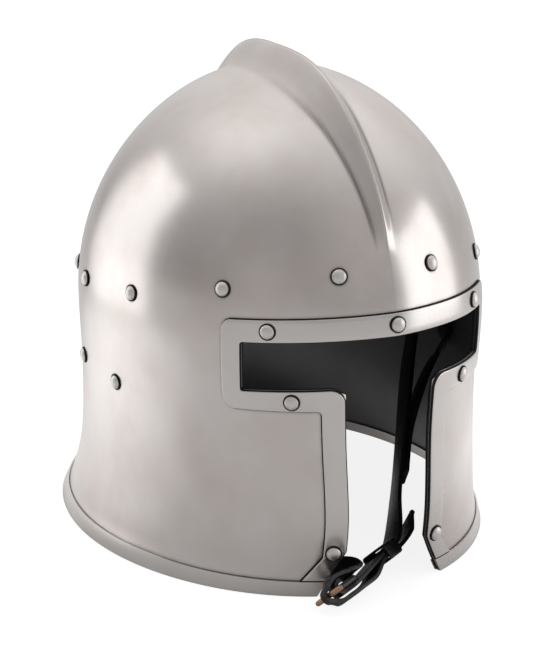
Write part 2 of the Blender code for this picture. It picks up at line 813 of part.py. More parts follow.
def beside(frames, share, toward):
    """Station lying against a strap's face at a share of its table, on the side of a direction."""
    place, width, face = frames[round(share * (len(frames) - 1))]
    side = 1.0 if face.dot(toward) > 0.0 else -1.0
    return place + face * side * (STRAP_THICKNESS + 2.0 * STRAP_CLEARANCE), width


def wall_station(side, angle, z):
    """Place of the strap flat against the inside of the bowl."""
    phi = side * math.radians(angle)
    depth = WALL + WALL_CLEARANCE + 0.5 * STRAP_THICKNESS
    return bowl_point(phi, z) - bowl_normal(phi, z) * depth


def wall_leg(side, row):
    """First stations of a leg: its tab behind the rivet, the rivet, and where it leaves the wall."""
    name, angle, z, tab_angle, tab_z, leave_angle, leave_z = row
    places = [wall_station(side, tab_angle, tab_z), wall_station(side, angle, z),
              wall_station(side, leave_angle, leave_z)]
    width = bowl_normal(side * math.radians(angle), z).cross(places[2] - places[0]).normalized()
    if width.z < 0.0:
        width = -width
    return [(place, width) for place in places]


def add_left_strap(pieces):
    """Left half: rear leg and run to the buckle's bar in one, and the front leg that joins it."""
    over = BAR_RADIUS + STRAP_CLEARANCE + 0.5 * STRAP_THICKNESS
    turn = over * math.sqrt(0.5)
    rear = strap_frames(wall_leg(1.0, STRAP_LEGS[1]) + [
        (inside_place(0.714, -0.078, 0.557), Vector((0.3, -0.5, 0.8))),
        (inside_place(0.488, -0.357, 0.386), Vector((0.0, -0.8, 0.6))),
        (inside_place(0.316, -0.556, 0.193), Vector((-0.1, -0.85, 0.5))),
        (fastening_point(KEEPER_DISTANCE + 14.0, KEEPER_SPLIT + 1.0), ACROSS),
        (fastening_point(KEEPER_DISTANCE, KEEPER_SPLIT), ACROSS),
        (fastening_point(0.5 * KEEPER_DISTANCE, -0.5 * over), ACROSS),
        (fastening_point(9.0, -over), ACROSS),
        (fastening_point(0.0, -over), ACROSS),
        (fastening_point(-turn, -turn), ACROSS),
        (fastening_point(-over, 0.0), ACROSS),
        (fastening_point(-turn, turn), ACROSS),
        (fastening_point(0.0, over), ACROSS),
        (fastening_point(2.6, over), ACROSS),
    ])
    pieces.add("strap_left", *ribbon(rear), LEATHER, smooth=False)
    front = strap_frames(wall_leg(1.0, STRAP_LEGS[0]) + [
        (inside_place(0.822, -0.150, 0.607), Vector((0.3, -0.5, 0.8))),
        (inside_place(0.668, -0.250, 0.521), Vector((0.3, -0.5, 0.8))),
        beside(rear, 0.27, JOIN_SIDE),
        beside(rear, 0.32, JOIN_SIDE),
    ])
    pieces.add("strap_left_leg", *ribbon(front), LEATHER, smooth=False)


def add_right_strap(pieces):
    """Right half: rear leg and run in one, round the buckle's far rod and on as a pointed tail."""
    over = FRAME_ROD_RADIUS + STRAP_CLEARANCE + 0.5 * STRAP_THICKNESS
    turn = over * math.sqrt(0.5)
    low = -over - STRAP_THICKNESS - STRAP_CLEARANCE - 0.4
    rod_at = BAR_RADIUS + GAP + FRAME_ROD_RADIUS - FRAME_LENGTH
    rear = strap_frames(wall_leg(-1.0, STRAP_LEGS[1]) + [
        (inside_place(-0.795, -0.243, 0.414), Vector((0.0, -0.5, 0.85))),
        (inside_place(-0.632, -0.528, 0.157), Vector((0.1, -0.3, 0.95))),
        (inside_place(-0.416, -0.713, 0.079), Vector((0.1, -0.2, 0.97))),
        (inside_place(-0.217, -0.827, 0.086), Vector((0.2, -0.3, 0.93))),
        (fastening_point(21.0, 3.4), ACROSS),
        (fastening_point(11.0, 4.6), ACROSS),
        (fastening_point(0.0, over + STRAP_THICKNESS + STRAP_CLEARANCE + 0.4), ACROSS),
        (fastening_point(rod_at + 4.0, over + 1.2), ACROSS),
        (fastening_point(rod_at, over), ACROSS),
        (fastening_point(rod_at - turn, turn), ACROSS),
        (fastening_point(rod_at - over, 0.0), ACROSS),
        (fastening_point(rod_at - turn, -turn), ACROSS),
        (fastening_point(rod_at, -over), ACROSS),
        (fastening_point(-4.0, low), ACROSS),
        (fastening_point(14.0, low - 0.5), ACROSS),
        (fastening_point(28.0, low - 0.2), ACROSS),
        (fastening_point(KEEPER_DISTANCE - 10.0, -KEEPER_SPLIT - 0.8), ACROSS),
        (fastening_point(KEEPER_DISTANCE, -KEEPER_SPLIT), ACROSS),
        (fastening_point(KEEPER_DISTANCE + 12.0, -KEEPER_SPLIT), ACROSS),
        (fastening_point(KEEPER_DISTANCE + 26.0, -KEEPER_SPLIT + 3.0, 1.5), ACROSS),
        (fastening_point(KEEPER_DISTANCE + 42.0, -KEEPER_SPLIT + 11.0, 5.0), ACROSS),
    ], steps=3)
    pieces.add("strap_right", *ribbon(rear, pointed=16.0), LEATHER, smooth=False)
    outward = Vector((-JOIN_SIDE.x, JOIN_SIDE.y, JOIN_SIDE.z))
    front = strap_frames(wall_leg(-1.0, STRAP_LEGS[0]) + [
        beside(rear, 0.130, outward),
        beside(rear, 0.145, outward),
        beside(rear, 0.160, outward),
    ])
    pieces.add("strap_right_leg", *ribbon(front), LEATHER, smooth=False)


def box_ring(centre, inner, outer, length):
    """Rectangular loop round the strap: half sizes across and out, and length along the run."""
    points = []
    sections = []
    for w, f in ((1.0, 1.0), (-1.0, 1.0), (-1.0, -1.0), (1.0, -1.0)):
        rows = []
        for half, along in ((inner, -0.5), (outer, -0.5), (outer, 0.5), (inner, 0.5)):
            rows.append(len(points))
            points.append(centre + ACROSS * half[0] * w + FACE * half[1] * f + RUN * length * along)
        sections.append(rows)
    return points, closed_loft(sections)


def add_keeper(pieces):
    """Leather loop round the run and the tail."""
    half_across = 0.5 * STRAP_WIDTH + STRAP_CLEARANCE
    half_out = STRAP_THICKNESS + 0.5 * STRAP_CLEARANCE + KEEPER_SLACK
    centre = fastening_point(KEEPER_DISTANCE, 0.0)
    outer = (half_across + KEEPER_WALL, half_out + KEEPER_WALL)
    pieces.add("strap_keeper", *box_ring(centre, (half_across, half_out), outer, KEEPER_LENGTH),
               LEATHER, smooth=False)


def rod(path, radius, segments=8):
    """Round rod along a path of points with flat ends."""
    points = []
    sections = []
    for i, place in enumerate(path):
        before = path[max(i - 1, 0)]
        after = path[min(i + 1, len(path) - 1)]
        tangent = (after - before).normalized()
        side = tangent.cross(FACE).normalized()
        up = side.cross(tangent)
        rows = []
        for k in range(segments):
            a = 2.0 * math.pi * k / segments
            rows.append(len(points))
            points.append(place + (side * math.cos(a) + up * math.sin(a)) * radius)
        sections.append(rows)
    return points, loft(sections)


def add_buckle(pieces):
    """Open rectangular frame of round rod, and the bar across it."""
    half = 0.5 * FRAME_WIDTH
    near = BAR_RADIUS + GAP + FRAME_ROD_RADIUS
    corner = 3.0
    points = []
    sections = []
    middle = Vector(BUCKLE_CENTRE)
    path = []
    for cx, cy, start in ((near - FRAME_LENGTH + corner, half - corner, 90.0),
                          (near - FRAME_LENGTH + corner, -half + corner, 180.0),
                          (near + 3.6 - corner, -half + corner, 270.0),
                          (near + 3.6 - corner, half - corner, 0.0)):
        for step in (0, 1, 2):
            a = math.radians(start + 45.0 * step)
            path.append((cx + corner * math.cos(a), cy + corner * math.sin(a)))
    count = len(path)
    for i, (along, across) in enumerate(path):
        before = path[i - 1]
        after = path[(i + 1) % count]
        tangent = (RUN * (after[0] - before[0]) + ACROSS * (after[1] - before[1])).normalized()
        side = tangent.cross(FACE)
        rows = []
        for k in range(8):
            a = 2.0 * math.pi * k / 8
            rows.append(len(points))
            points.append(middle + RUN * along + ACROSS * across
                          + (side * math.cos(a) + FACE * math.sin(a)) * FRAME_ROD_RADIUS)
        sections.append(rows)
    pieces.add("buckle_frame", points, closed_loft(sections), DARK_METAL)
    reach = half - FRAME_ROD_RADIUS - GAP
    bar = [middle + ACROSS * reach * share for share in (-1.0, 1.0)]
    pieces.add("buckle_bar", *rod(bar, BAR_RADIUS), BRONZE)


def main():
    """Build every piece of the helmet."""
    for obj in list(bpy.data.objects):
        bpy.data.objects.remove(obj, do_unlink=True)
    pieces = Pieces()
    add_skull(pieces)
    add_trim(pieces)
    add_band(pieces)
    add_rivets(pieces)
    add_left_strap(pieces)
    add_right_strap(pieces)
    add_keeper(pieces)
    add_buckle(pieces)
    pieces.build()


main()
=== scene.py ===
"""Looks of a barbute: an open-faced steel helmet with a combed bowl and a leather chin strap.

The sizes below are in millimetres, and the pieces are made in metres. They are the part's own, apart
from the comb's half widths over the brow and the rounding of the opening's nasal corner.
"""
import math
from bisect import bisect_left, bisect_right

import bmesh
import bpy
from bpy.props import FloatProperty, FloatVectorProperty, IntProperty, PointerProperty
from mathutils import Matrix, Vector


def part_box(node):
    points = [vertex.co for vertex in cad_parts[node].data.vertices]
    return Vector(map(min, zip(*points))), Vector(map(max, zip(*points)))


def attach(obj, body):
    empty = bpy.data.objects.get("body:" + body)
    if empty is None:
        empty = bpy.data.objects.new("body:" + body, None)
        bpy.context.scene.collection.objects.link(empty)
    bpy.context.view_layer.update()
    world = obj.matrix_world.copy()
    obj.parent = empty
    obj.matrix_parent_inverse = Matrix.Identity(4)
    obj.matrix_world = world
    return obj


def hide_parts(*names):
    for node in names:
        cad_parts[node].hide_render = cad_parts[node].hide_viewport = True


bl_info = {
    "name": "Barbute helmet looks",
    "version": (1, 0, 0),
    "blender": (4, 5, 0),
    "location": "3D View > Sidebar > Barbute",
    "description": "Steel, leather and studio of a barbute helmet over its packed solids",
    "category": "Object",
}

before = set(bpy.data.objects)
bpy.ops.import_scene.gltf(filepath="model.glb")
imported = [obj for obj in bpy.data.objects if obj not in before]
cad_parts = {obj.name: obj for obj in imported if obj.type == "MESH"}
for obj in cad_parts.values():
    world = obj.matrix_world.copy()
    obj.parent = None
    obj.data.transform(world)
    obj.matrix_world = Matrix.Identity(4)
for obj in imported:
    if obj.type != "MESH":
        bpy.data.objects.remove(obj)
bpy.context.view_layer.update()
MM = 0.001

# Bowl.
HALF_WIDTH = 110.7
FRONT_REACH = 140.2
BACK_REACH = 109.1
SPRING_HEIGHT = 140.0
BOWL_HEIGHT = 264.5
APEX_Y = 2.0
WIDEST_Y = 15.8
SECTION_POWER = 1.97
WALL_SECTIONS = (
    # name, height, width, front, back
    ("rim", 0.0, 1.058, 0.940, 1.515),
    ("flare", 0.107, 1.014, 0.951, 1.394),
    ("nape", 0.321, 0.977, 0.983, 1.228),
    ("waist", 0.643, 0.978, 0.978, 1.100),
    ("spring", 1.0, 1.0, 1.0, 1.0),
)
DOME_LEAN = {"width": 0.0, "front": -0.07, "back": 0.51}
DOME_POWER = {"width": 2.0, "front": 2.19, "back": 2.47}
COMB_STATIONS = (
    # name, angle, rise, half width
    ("toe", 21.0, 0.0, 6.0),
    ("toe rise", 26.0, 3.2, 6.6),
    ("forehead", 38.0, 7.0, 8.4),
    ("shoulder", 52.0, 12.0, 11.2),
    ("front crown", 66.0, 15.5, 14.6),
    ("crown", 90.0, 12.4, 17.0),
    ("rear crown", 115.0, 13.2, 17.0),
    ("occiput", 140.0, 14.5, 17.0),
    ("nape end", 186.0, 0.0, 14.0),
)
COMB_CREASE = 0.36
COMB_CREASE_POWER = 1.9
COMB_FOLD = 0.26
KEEL_RISE = 1.6
KEEL_HALF_WIDTH = 34.0
KEEL_POWER = 1.6
KEEL_END_ANGLE = 60.0
# FOLD_END_ANGLE, FOLD_PLACE and FOLD_SPREAD place the painted shade in the comb's fold.
FOLD_END_ANGLE = 84.0
FOLD_PLACE = 0.92
FOLD_SPREAD = 0.13

# Face opening and its steel strip.
SIGHT_TILT = 0.11
SIGHT_TOP = 147.4
SIGHT_BOTTOM = 121.0
SIGHT_HALF_SPAN = 83.0
NASAL_HALF_GAP = 26.7
CHEEK_HALF_GAP = 24.4
CHEEK_CUT_HEIGHT = 26.4
CHEEK_CUT_HALF_GAP = 37.2
NASAL_CORNER_RADIUS = 8.5
CHEEK_CUT_RADIUS = 2.0
SIGHT_CORNER_RADIUS = 1.0
GAP = 0.3
TRIM_WIDTH = 13.0
TRIM_SIDE_WIDTH = 12.0
TRIM_UNDER_WIDTH = 11.6
TRIM_UPPER_RADIUS = 5.7
TRIM_LOWER_RADIUS = 8.5
TRIM_NASAL_RADIUS = 2.0
# The seam sizes make a thin dark flange under the strip, a little wider than it: painted shade along the
# seam.
SEAM_SHADE_THICKNESS = 0.15
SEAM_SHADE_WIDTH = 0.55
STRIP_CELL_ACROSS = 2.4
STRIP_CELL_UP = 3.0
CELL_OFFSET = 0.013
BAND_THICKNESS = 1.0
BAND_HEIGHT = 8.6
BAND_INNER_HEIGHT = 7.0
SHELL_BOTTOM = BAND_THICKNESS + GAP

# Strap and buckle.
STRAP_CLEARANCE = 0.5
WALL_CLEARANCE = 1.2
STRAP_LEGS = (
    # name, rivet angle and height, tab angle and height, angle and height where it leaves the wall
    ("front leg", 78.9, 98.9, 82.2, 104.0, 76.3, 95.0),
    ("rear leg", 99.6, 101.3, 103.2, 106.0, 96.5, 97.5),
)
JOIN_SIDE = Vector((0.75, -0.29, -0.59))
BUCKLE_CENTRE = (-35.4, -FRONT_REACH - 3.3, SHELL_BOTTOM + 10.1)
FASTENING_AZIMUTH = 34.5
FASTENING_LEAN = 42.3
KEEPER_DISTANCE = 52.0
KEEPER_LENGTH = 13.0
KEEPER_WALL = 1.4
KEEPER_SLACK = 0.6
FRAME_LENGTH = 14.0
FRAME_WIDTH = 19.0
FRAME_CORNER = 3.0
FRAME_NEAR_END = 3.6
KEEPER_CORNER = 1.9
TAB_LENGTH = 7.0
TAIL_POINT = 16.0
LEG_POINT = 5.0
STRAP_CELL = 1.2

# Mesh fineness.
COMB_COLUMNS = 12
NASAL_COLUMNS = 5
CHEEK_COLUMNS = 22
CORNER_COLUMNS = 3
SIDE_COLUMNS = 72
ROWS_CUT = 8
ROWS_CHEEK = 26
ROWS_SIGHT = 8
ROWS_BROW = 20
PATCH_HEIGHT = 200.0
COMB_SHARE = 0.17
NASAL_SHARE = 0.33
SIGHT_SHARE = 0.92
GIRTH_STEPS = 240
MERGE_DISTANCE = 0.01
EDGE_ROUNDING = 0.45
SMALL_ROUNDING = 0.3
STRAP_STRETCH = 200.0
BAND_STRETCH = 1000.0

# Rivet head, as shares of its radius and rise: a dark ring round its foot, painted shade where head
# meets plate, then the dome.
HEAD_SHAPE = (
    (0.0, 0.0), (1.20, 0.0), (1.20, 0.12), (1.01, 0.20), (0.985, 0.34), (0.90, 0.52), (0.76, 0.70),
    (0.58, 0.84), (0.36, 0.95), (0.16, 0.99), (0.0, 1.0),
)
HEAD_SHARE = 0.985
HEAD_RING = 0.26
HEAD_MIDDLE = 1.2
HEAD_REACH = 5.5

# Camera of the photograph: turned and raised round a point, in degrees and millimetres.
CAMERA_AZIMUTH = -25.76
CAMERA_ELEVATION = 16.44
CAMERA_DISTANCE = 1390.17
CAMERA_TARGET_HEIGHT = 155.0
FOCAL_PIXELS = 2435.3
AXIS_RIGHT = 3.4
AXIS_UP = 71.0
CAMERA_ROLL = -0.46
PICTURE_HEIGHT = 650.0
SENSOR_HEIGHT = 36.0

COLOUR = {"subtype": "COLOR", "size": 3, "min": 0.0, "max": 1.0}


class BarbuteSizes(bpy.types.PropertyGroup):
    """Sizes of the dressed helmet."""
    wall: FloatProperty(name="Plate", description="Thickness of the bowl's plate in millimetres",
                        default=1.8, min=0.8, max=3.0)
    trim: FloatProperty(name="Strip", description="Thickness of the face strip in millimetres",
                        default=1.4, min=0.5, max=3.0)
    rivet_radius: FloatProperty(name="Rivet radius", description="Radius of a rivet head in millimetres",
                                default=3.9, min=2.0, max=6.0)
    rivet_rise: FloatProperty(name="Rivet rise", description="Height of a rivet head in millimetres",
                              default=2.4, min=1.0, max=4.0)
    rivet_sides: IntProperty(name="Rivet sides", description="Sides round a rivet head",
                             default=28, min=8, max=64)
    strap_width: FloatProperty(name="Strap width", description="Width of the strap in millimetres",
                               default=14.0, min=8.0, max=25.0)
    strap_thickness: FloatProperty(name="Strap thickness", description="Thickness of the strap",
                                   default=2.4, min=1.0, max=4.0)
    rod_radius: FloatProperty(name="Buckle rod", description="Radius of the buckle's rods",
                              default=1.5, min=0.5, max=3.0)


class BarbuteColours(bpy.types.PropertyGroup):
    """Colours of the dressed helmet."""
    steel: FloatVectorProperty(name="Steel", description="Satin steel",
                               default=(0.60, 0.568, 0.553), **COLOUR)
    trim: FloatVectorProperty(name="Strip steel", description="Steel of strip and band",
                              default=(0.60, 0.58, 0.565), **COLOUR)
    rivet: FloatVectorProperty(name="Rivet steel", description="Steel of the rivet heads",
                               default=(0.78, 0.77, 0.76), **COLOUR)
    # Also the dull black of the painted shade along the strip's seam and round the rivet feet.
    black: FloatVectorProperty(name="Blackened steel", description="Cut edges, seams and buckle frame",
                               default=(0.028, 0.027, 0.028), **COLOUR)
    # Raised above the blackened edges' colour as painted light: it stands for light reaching the dark
    # hollow of the bowl.
    inside: FloatVectorProperty(name="Inside", description="Blackened inside of the bowl",
                                default=(0.098, 0.092, 0.094), **COLOUR)
    leather: FloatVectorProperty(name="Leather", description="Black leather",
                                 default=(0.010, 0.009, 0.009), **COLOUR)
    bronze: FloatVectorProperty(name="Bronze", description="Bar and front rod of the buckle",
                                default=(0.40, 0.25, 0.17), **COLOUR)
    floor: FloatVectorProperty(name="Floor", description="Studio floor",
                               default=(0.80, 0.80, 0.80), **COLOUR)


def lerp(a, b, t):
    """Straight interpolation."""
    return a + (b - a) * t


def way(azimuth, elevation=0.0):
    """Direction by its angles in degrees: straight ahead is -Y, and the wearer's left +X."""
    a, e = math.radians(azimuth), math.radians(elevation)
    return Vector((math.sin(a) * math.cos(e), -math.cos(a) * math.cos(e), math.sin(e)))


def clamp(value, low, high):
    """Value held between two limits."""
    return max(low, min(high, value))


def linspace(start, stop, count):
    """Evenly spaced values, count steps, both ends included."""
    return [lerp(start, stop, i / count) for i in range(count + 1)]


def smooth_curve(knots, values, at, end_slope=None):
    """Cubic Hermite curve through a short table."""
    last = len(knots) - 1
    at = clamp(at, knots[0], knots[last])
    i = 0
    while i < last - 1 and at > knots[i + 1]:
        i += 1

    def slope(k):
        if k == last and end_slope is not None:
            return end_slope
        low = max(k - 1, 0)
        high = min(k + 1, last)
        return (values[high] - values[low]) / (knots[high] - knots[low])

    span = knots[i + 1] - knots[i]
    t = (at - knots[i]) / span
    start = (1 + 2 * t) * (1 - t) ** 2 * values[i] + t * (1 - t) ** 2 * span * slope(i)
    end = t * t * (3 - 2 * t) * values[i + 1] + t * t * (t - 1) * span * slope(i + 1)
    return start + end


WALL_KNOTS = [row[1] for row in WALL_SECTIONS]
WALL_VALUES = {side: [row[k] for row in WALL_SECTIONS]
               for side, k in (("width", 2), ("front", 3), ("back", 4))}
COMB_ANGLES = [row[1] for row in COMB_STATIONS]
COMB_RISES = [row[2] for row in COMB_STATIONS]
COMB_HALVES = [row[3] for row in COMB_STATIONS]


def dome_share(t, side):
    """Share of a reach left at height share t of the dome."""
    lean = DOME_LEAN[side]
    return max(0.0, 1.0 - lean * t - (1.0 - lean) * t * t) ** (1.0 / DOME_POWER[side])


def wall_share(z, side):
    """Share of a reach at height z below the springing."""
    slope = -DOME_LEAN[side] / DOME_POWER[side] * SPRING_HEIGHT / (BOWL_HEIGHT - SPRING_HEIGHT)
    return smooth_curve(WALL_KNOTS, WALL_VALUES[side], z / SPRING_HEIGHT, slope)


def section(z):
    """Half width, front y, back y and the y of the widest point at height z."""
    if z <= SPRING_HEIGHT:
        half = HALF_WIDTH * wall_share(z, "width")
        front = -FRONT_REACH * wall_share(z, "front")
        back = BACK_REACH * wall_share(z, "back")
        return half, front, back, WIDEST_Y
    t = min(1.0, (z - SPRING_HEIGHT) / (BOWL_HEIGHT - SPRING_HEIGHT))
    half = HALF_WIDTH * dome_share(t, "width")
    front = APEX_Y - (FRONT_REACH + APEX_Y) * dome_share(t, "front")
    back = APEX_Y + (BACK_REACH - APEX_Y) * dome_share(t, "back")
    return half, front, back, lerp(WIDEST_Y, APEX_Y, t * t)


def plain_point(phi, z):
    """Point of the bowl without comb; phi runs from straight ahead towards the wearer's left."""
    half, front, back, middle = section(z)
    s = math.sin(phi)
    c = math.cos(phi)
    power = 2.0 / SECTION_POWER
    reach = (front if c > 0 else back) - middle
    return Vector((half * math.copysign(abs(s) ** power, s), middle + reach * abs(c) ** power, z))


def comb_profile(t):
    """Section of the comb: a soft swell with a crease along its crest and a fold at its foot."""
    swell = 0.5 * (1.0 + math.cos(math.pi * t))
    crease = COMB_CREASE * (1.0 - t) ** COMB_CREASE_POWER
    return (1.0 - COMB_CREASE - COMB_FOLD) * swell + crease + COMB_FOLD * (1.0 - t)


def comb_place(point):
    """Angle of a point up the comb and its share of the comb's half width; share 2 is off the comb."""
    angle = math.degrees(math.atan2(point.z - SPRING_HEIGHT, APEX_Y - point.y))
    angle = angle + 360.0 if angle < -90.0 else angle
    if not COMB_ANGLES[0] < angle < COMB_ANGLES[-1]:
        return angle, 2.0
    return angle, abs(point.x) / smooth_curve(COMB_ANGLES, COMB_HALVES, angle)


def fold_shade(phi, z):
    """How dark the painted shade in the fold at the comb's foot is at a point, strongest over the brow;
    partly it is also steel that the polishing missed.
    """
    angle, t = comb_place(plain_point(phi, z))
    front = clamp((FOLD_END_ANGLE - angle) / 30.0, 0.12, 1.0)
    rise = clamp((angle - COMB_ANGLES[0]) / 5.0, 0.0, 1.0)
    return front * rise * math.exp(-((t - FOLD_PLACE) / FOLD_SPREAD) ** 2)


def comb_lift(point):
    """Height of comb and keel over the plain bowl at a point."""
    angle, t = comb_place(point)
    lift = 0.0
    if t < 1.0:
        lift += max(0.0, smooth_curve(COMB_ANGLES, COMB_RISES, angle)) * comb_profile(t)
    if angle < KEEL_END_ANGLE:
        fade = clamp((KEEL_END_ANGLE - angle) / KEEL_END_ANGLE, 0.0, 1.0)
        t = abs(point.x) / KEEL_HALF_WIDTH
        if t < 1.0:
            lift += KEEL_RISE * min(1.0, 2.0 * fade) * (1.0 - t) ** KEEL_POWER
    return lift


def bowl_point(phi, z):
    """Point of the bowl's outside."""
    point = plain_point(phi, z)
    lift = comb_lift(point)
    if lift > 0.0:
        reach = FRONT_REACH if point.y < APEX_Y else BACK_REACH
        rise = max(0.0, point.z - SPRING_HEIGHT) / (BOWL_HEIGHT - SPRING_HEIGHT) ** 2
        point = point + Vector((0.0, (point.y - APEX_Y) / reach ** 2, rise + 1e-9)).normalized() * lift
    return point


# The part stands centred on the floor's origin: its skull gives the shift along Y.
SHIFT = Vector((0.0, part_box("skull")[1].y / MM - bowl_point(math.pi, SHELL_BOTTOM).y, 0.0))


def bowl_normal(phi, z):
    """Outward normal of the bowl at a point below its crown."""
    across = bowl_point(phi + 0.004, z) - bowl_point(phi - 0.004, z)
    up = bowl_point(phi, z + 0.5) - bowl_point(phi, z - 0.5)
    return across.cross(up).normalized()


def girth_table():
    """Distance round the face from the centre line, by angle, at the sight."""
    level = 0.5 * (SIGHT_TOP + SIGHT_BOTTOM)
    angles = linspace(0.0, math.pi / 2.0, GIRTH_STEPS)
    lengths = [0.0]
    for low, high in zip(angles, angles[1:]):
        lengths.append(lengths[-1] + (plain_point(high, level) - plain_point(low, level)).length)
    return angles, lengths


GIRTH_ANGLES, GIRTH_LENGTHS = girth_table()


def girth_angle(distance):
    """Angle round from straight ahead for a distance round the face."""
    size = abs(distance)
    low = clamp(bisect_left(GIRTH_LENGTHS, size) - 1, 0, GIRTH_STEPS - 1)
    high = low + 1
    t = (size - GIRTH_LENGTHS[low]) / (GIRTH_LENGTHS[high] - GIRTH_LENGTHS[low])
    return math.copysign(lerp(GIRTH_ANGLES[low], GIRTH_ANGLES[high], t), distance)


def tilted_height(phi, height):
    """Height of a face line at angle phi: level at the rim, falling to the back at the sight."""
    if height <= SIGHT_BOTTOM:
        weight = max(0.0, (height - SHELL_BOTTOM) / (SIGHT_BOTTOM - SHELL_BOTTOM))
    elif height <= SIGHT_TOP + TRIM_WIDTH:
        weight = 1.0
    else:
        weight = max(0.0, (PATCH_HEIGHT - height) / (PATCH_HEIGHT - SIGHT_TOP - TRIM_WIDTH))
    z = height
    for _ in range(3):
        z = height - weight * SIGHT_TILT * (min(plain_point(phi, z).y, 0.0) - section(height)[1])
    return z


def face_point(distance, height, lift=0.0):
    """Point over the face, from its distance round the face and its height at the centre line."""
    phi = girth_angle(distance)
    z = tilted_height(phi, height)
    point = bowl_point(phi, z)
    return point + bowl_normal(phi, z) * lift if lift else point


def half_gap(height):
    """Half width of the nasal opening at a height, with the cut-off cheek corners."""
    if height < CHEEK_CUT_HEIGHT:
        return lerp(CHEEK_CUT_HALF_GAP, CHEEK_HALF_GAP, max(height, 0.0) / CHEEK_CUT_HEIGHT)
    t = (height - CHEEK_CUT_HEIGHT) / (SIGHT_BOTTOM - CHEEK_CUT_HEIGHT)
    return lerp(CHEEK_HALF_GAP, NASAL_HALF_GAP, min(t, 1.0))


def column_shares():
    """Shares across the front of the cap, from the right corner to the left corner."""
    half = linspace(0.0, COMB_SHARE, COMB_COLUMNS)
    half += linspace(COMB_SHARE, NASAL_SHARE, NASAL_COLUMNS)[1:]
    half += linspace(NASAL_SHARE, SIGHT_SHARE, CHEEK_COLUMNS)[1:]
    half += linspace(SIGHT_SHARE, 1.0, CORNER_COLUMNS)[1:]
    return [-s for s in reversed(half[1:])] + half


def row_heights():
    """Heights of the rows at the centre line, from the rim to the cap."""
    rows = linspace(SHELL_BOTTOM, CHEEK_CUT_HEIGHT, ROWS_CUT)
    rows += linspace(CHEEK_CUT_HEIGHT, SIGHT_BOTTOM, ROWS_CHEEK)[1:]
    rows += linspace(SIGHT_BOTTOM, SIGHT_TOP, ROWS_SIGHT)[1:]
    rows += linspace(SIGHT_TOP, PATCH_HEIGHT, ROWS_BROW)[1:]
    return rows


def disk(s, t):
    """Square to disk: the square's centre line stays straight."""
    return s * math.sqrt(1.0 - 0.5 * t * t), t * math.sqrt(1.0 - 0.5 * s * s)


def ring_places():
    """Places of the wall's columns in the cap's square: front, left, back, right, first again."""
    across = column_shares()
    along = linspace(-1.0, 1.0, SIDE_COLUMNS)
    ring = [(s, -1.0) for s in across]
    ring += [(1.0, t) for t in along[1:]]
    ring += [(s, 1.0) for s in reversed(across[:-1])]
    ring += [(-1.0, t) for t in reversed(along[:-1])]
    return ring


def front_girth(share, height):
    """Distance round the face of a front column at a height."""
    size = abs(share)
    gap = half_gap(height)
    if size <= NASAL_SHARE:
        distance = gap * size / NASAL_SHARE
    elif size <= SIGHT_SHARE:
        distance = lerp(gap, SIGHT_HALF_SPAN, (size - NASAL_SHARE) / (SIGHT_SHARE - NASAL_SHARE))
    else:
        corner = GIRTH_LENGTHS[len(GIRTH_LENGTHS) // 2]
        distance = lerp(SIGHT_HALF_SPAN, corner, (size - SIGHT_SHARE) / (1.0 - SIGHT_SHARE))
    return math.copysign(distance, share)


def column_angle(s, t, height):
    """Angle of a column: tied to the opening at the face, to the patch at the cap."""
    x, y = disk(s, t)
    patch_angle = math.atan2(x, -y)
    if t > -1.0:
        return patch_angle
    blend = clamp((height - SIGHT_TOP) / (PATCH_HEIGHT - SIGHT_TOP), 0.0, 1.0)
    return lerp(girth_angle(front_girth(s, height)), patch_angle, blend)


def rounded(distance, height, corner, radius):
    """A plate corner's square corner region pressed onto its rounding."""
    p = radius - (abs(distance) - corner[0])
    q = radius - (corner[1] - height)
    if not (0.0 < p <= radius + 1e-6 and 0.0 < q <= radius + 1e-6):
        return distance, height
    p2 = p * math.sqrt(max(0.0, 1.0 - 0.5 * (q / radius) ** 2))
    q2 = q * math.sqrt(max(0.0, 1.0 - 0.5 * (p / radius) ** 2))
    return math.copysign(corner[0] + radius - p2, distance), corner[1] - radius + q2


def open_cell(s, t, height):
    """True where a place on the wall lies in the face opening."""
    if t > -1.0 + 1e-6:
        return False
    if height < SIGHT_BOTTOM:
        return abs(s) < NASAL_SHARE
    return height < SIGHT_TOP and abs(s) < SIGHT_SHARE


def wall_sheet(bm):
    """Wall of the bowl: a grid bent round, its face opening cut out."""
    ring = ring_places()
    rows = row_heights()
    columns = len(ring) - 1
    levels = len(rows) - 1
    made = bmesh.ops.create_grid(bm, x_segments=columns, y_segments=levels, size=1.0)["verts"]
    spots = {v: (round((v.co.x + 1.0) * 0.5 * columns), round((v.co.y + 1.0) * 0.5 * levels))
             for v in made}
    cut = []
    for face in {f for v in made for f in v.link_faces}:
        ks = [spots[v][0] for v in face.verts]
        rs = [spots[v][1] for v in face.verts]
        low, high = ring[min(ks)], ring[max(ks)]
        height = 0.5 * (rows[min(rs)] + rows[max(rs)])
        if open_cell(0.5 * (low[0] + high[0]), max(low[1], high[1]), height):
            cut.append(face)
    bmesh.ops.delete(bm, geom=cut, context="FACES")
    # Layer of painted shade along the comb's fold.
    painted_shade = bm.verts.layers.float["fold"]
    for v in [v for v in made if v.is_valid]:
        k, r = spots[v]
        s, t = ring[k]
        height = rows[r]
        if t == -1.0 and height <= SIGHT_TOP:
            distance, level = rounded(front_girth(s, height), height,
                                      (NASAL_HALF_GAP, SIGHT_BOTTOM), NASAL_CORNER_RADIUS)
            v.co = face_point(distance, level)
        else:
            phi = column_angle(s, t, height)
            z = tilted_height(phi, height)
            v.co = bowl_point(phi, z)
            v[painted_shade] = fold_shade(phi, z)


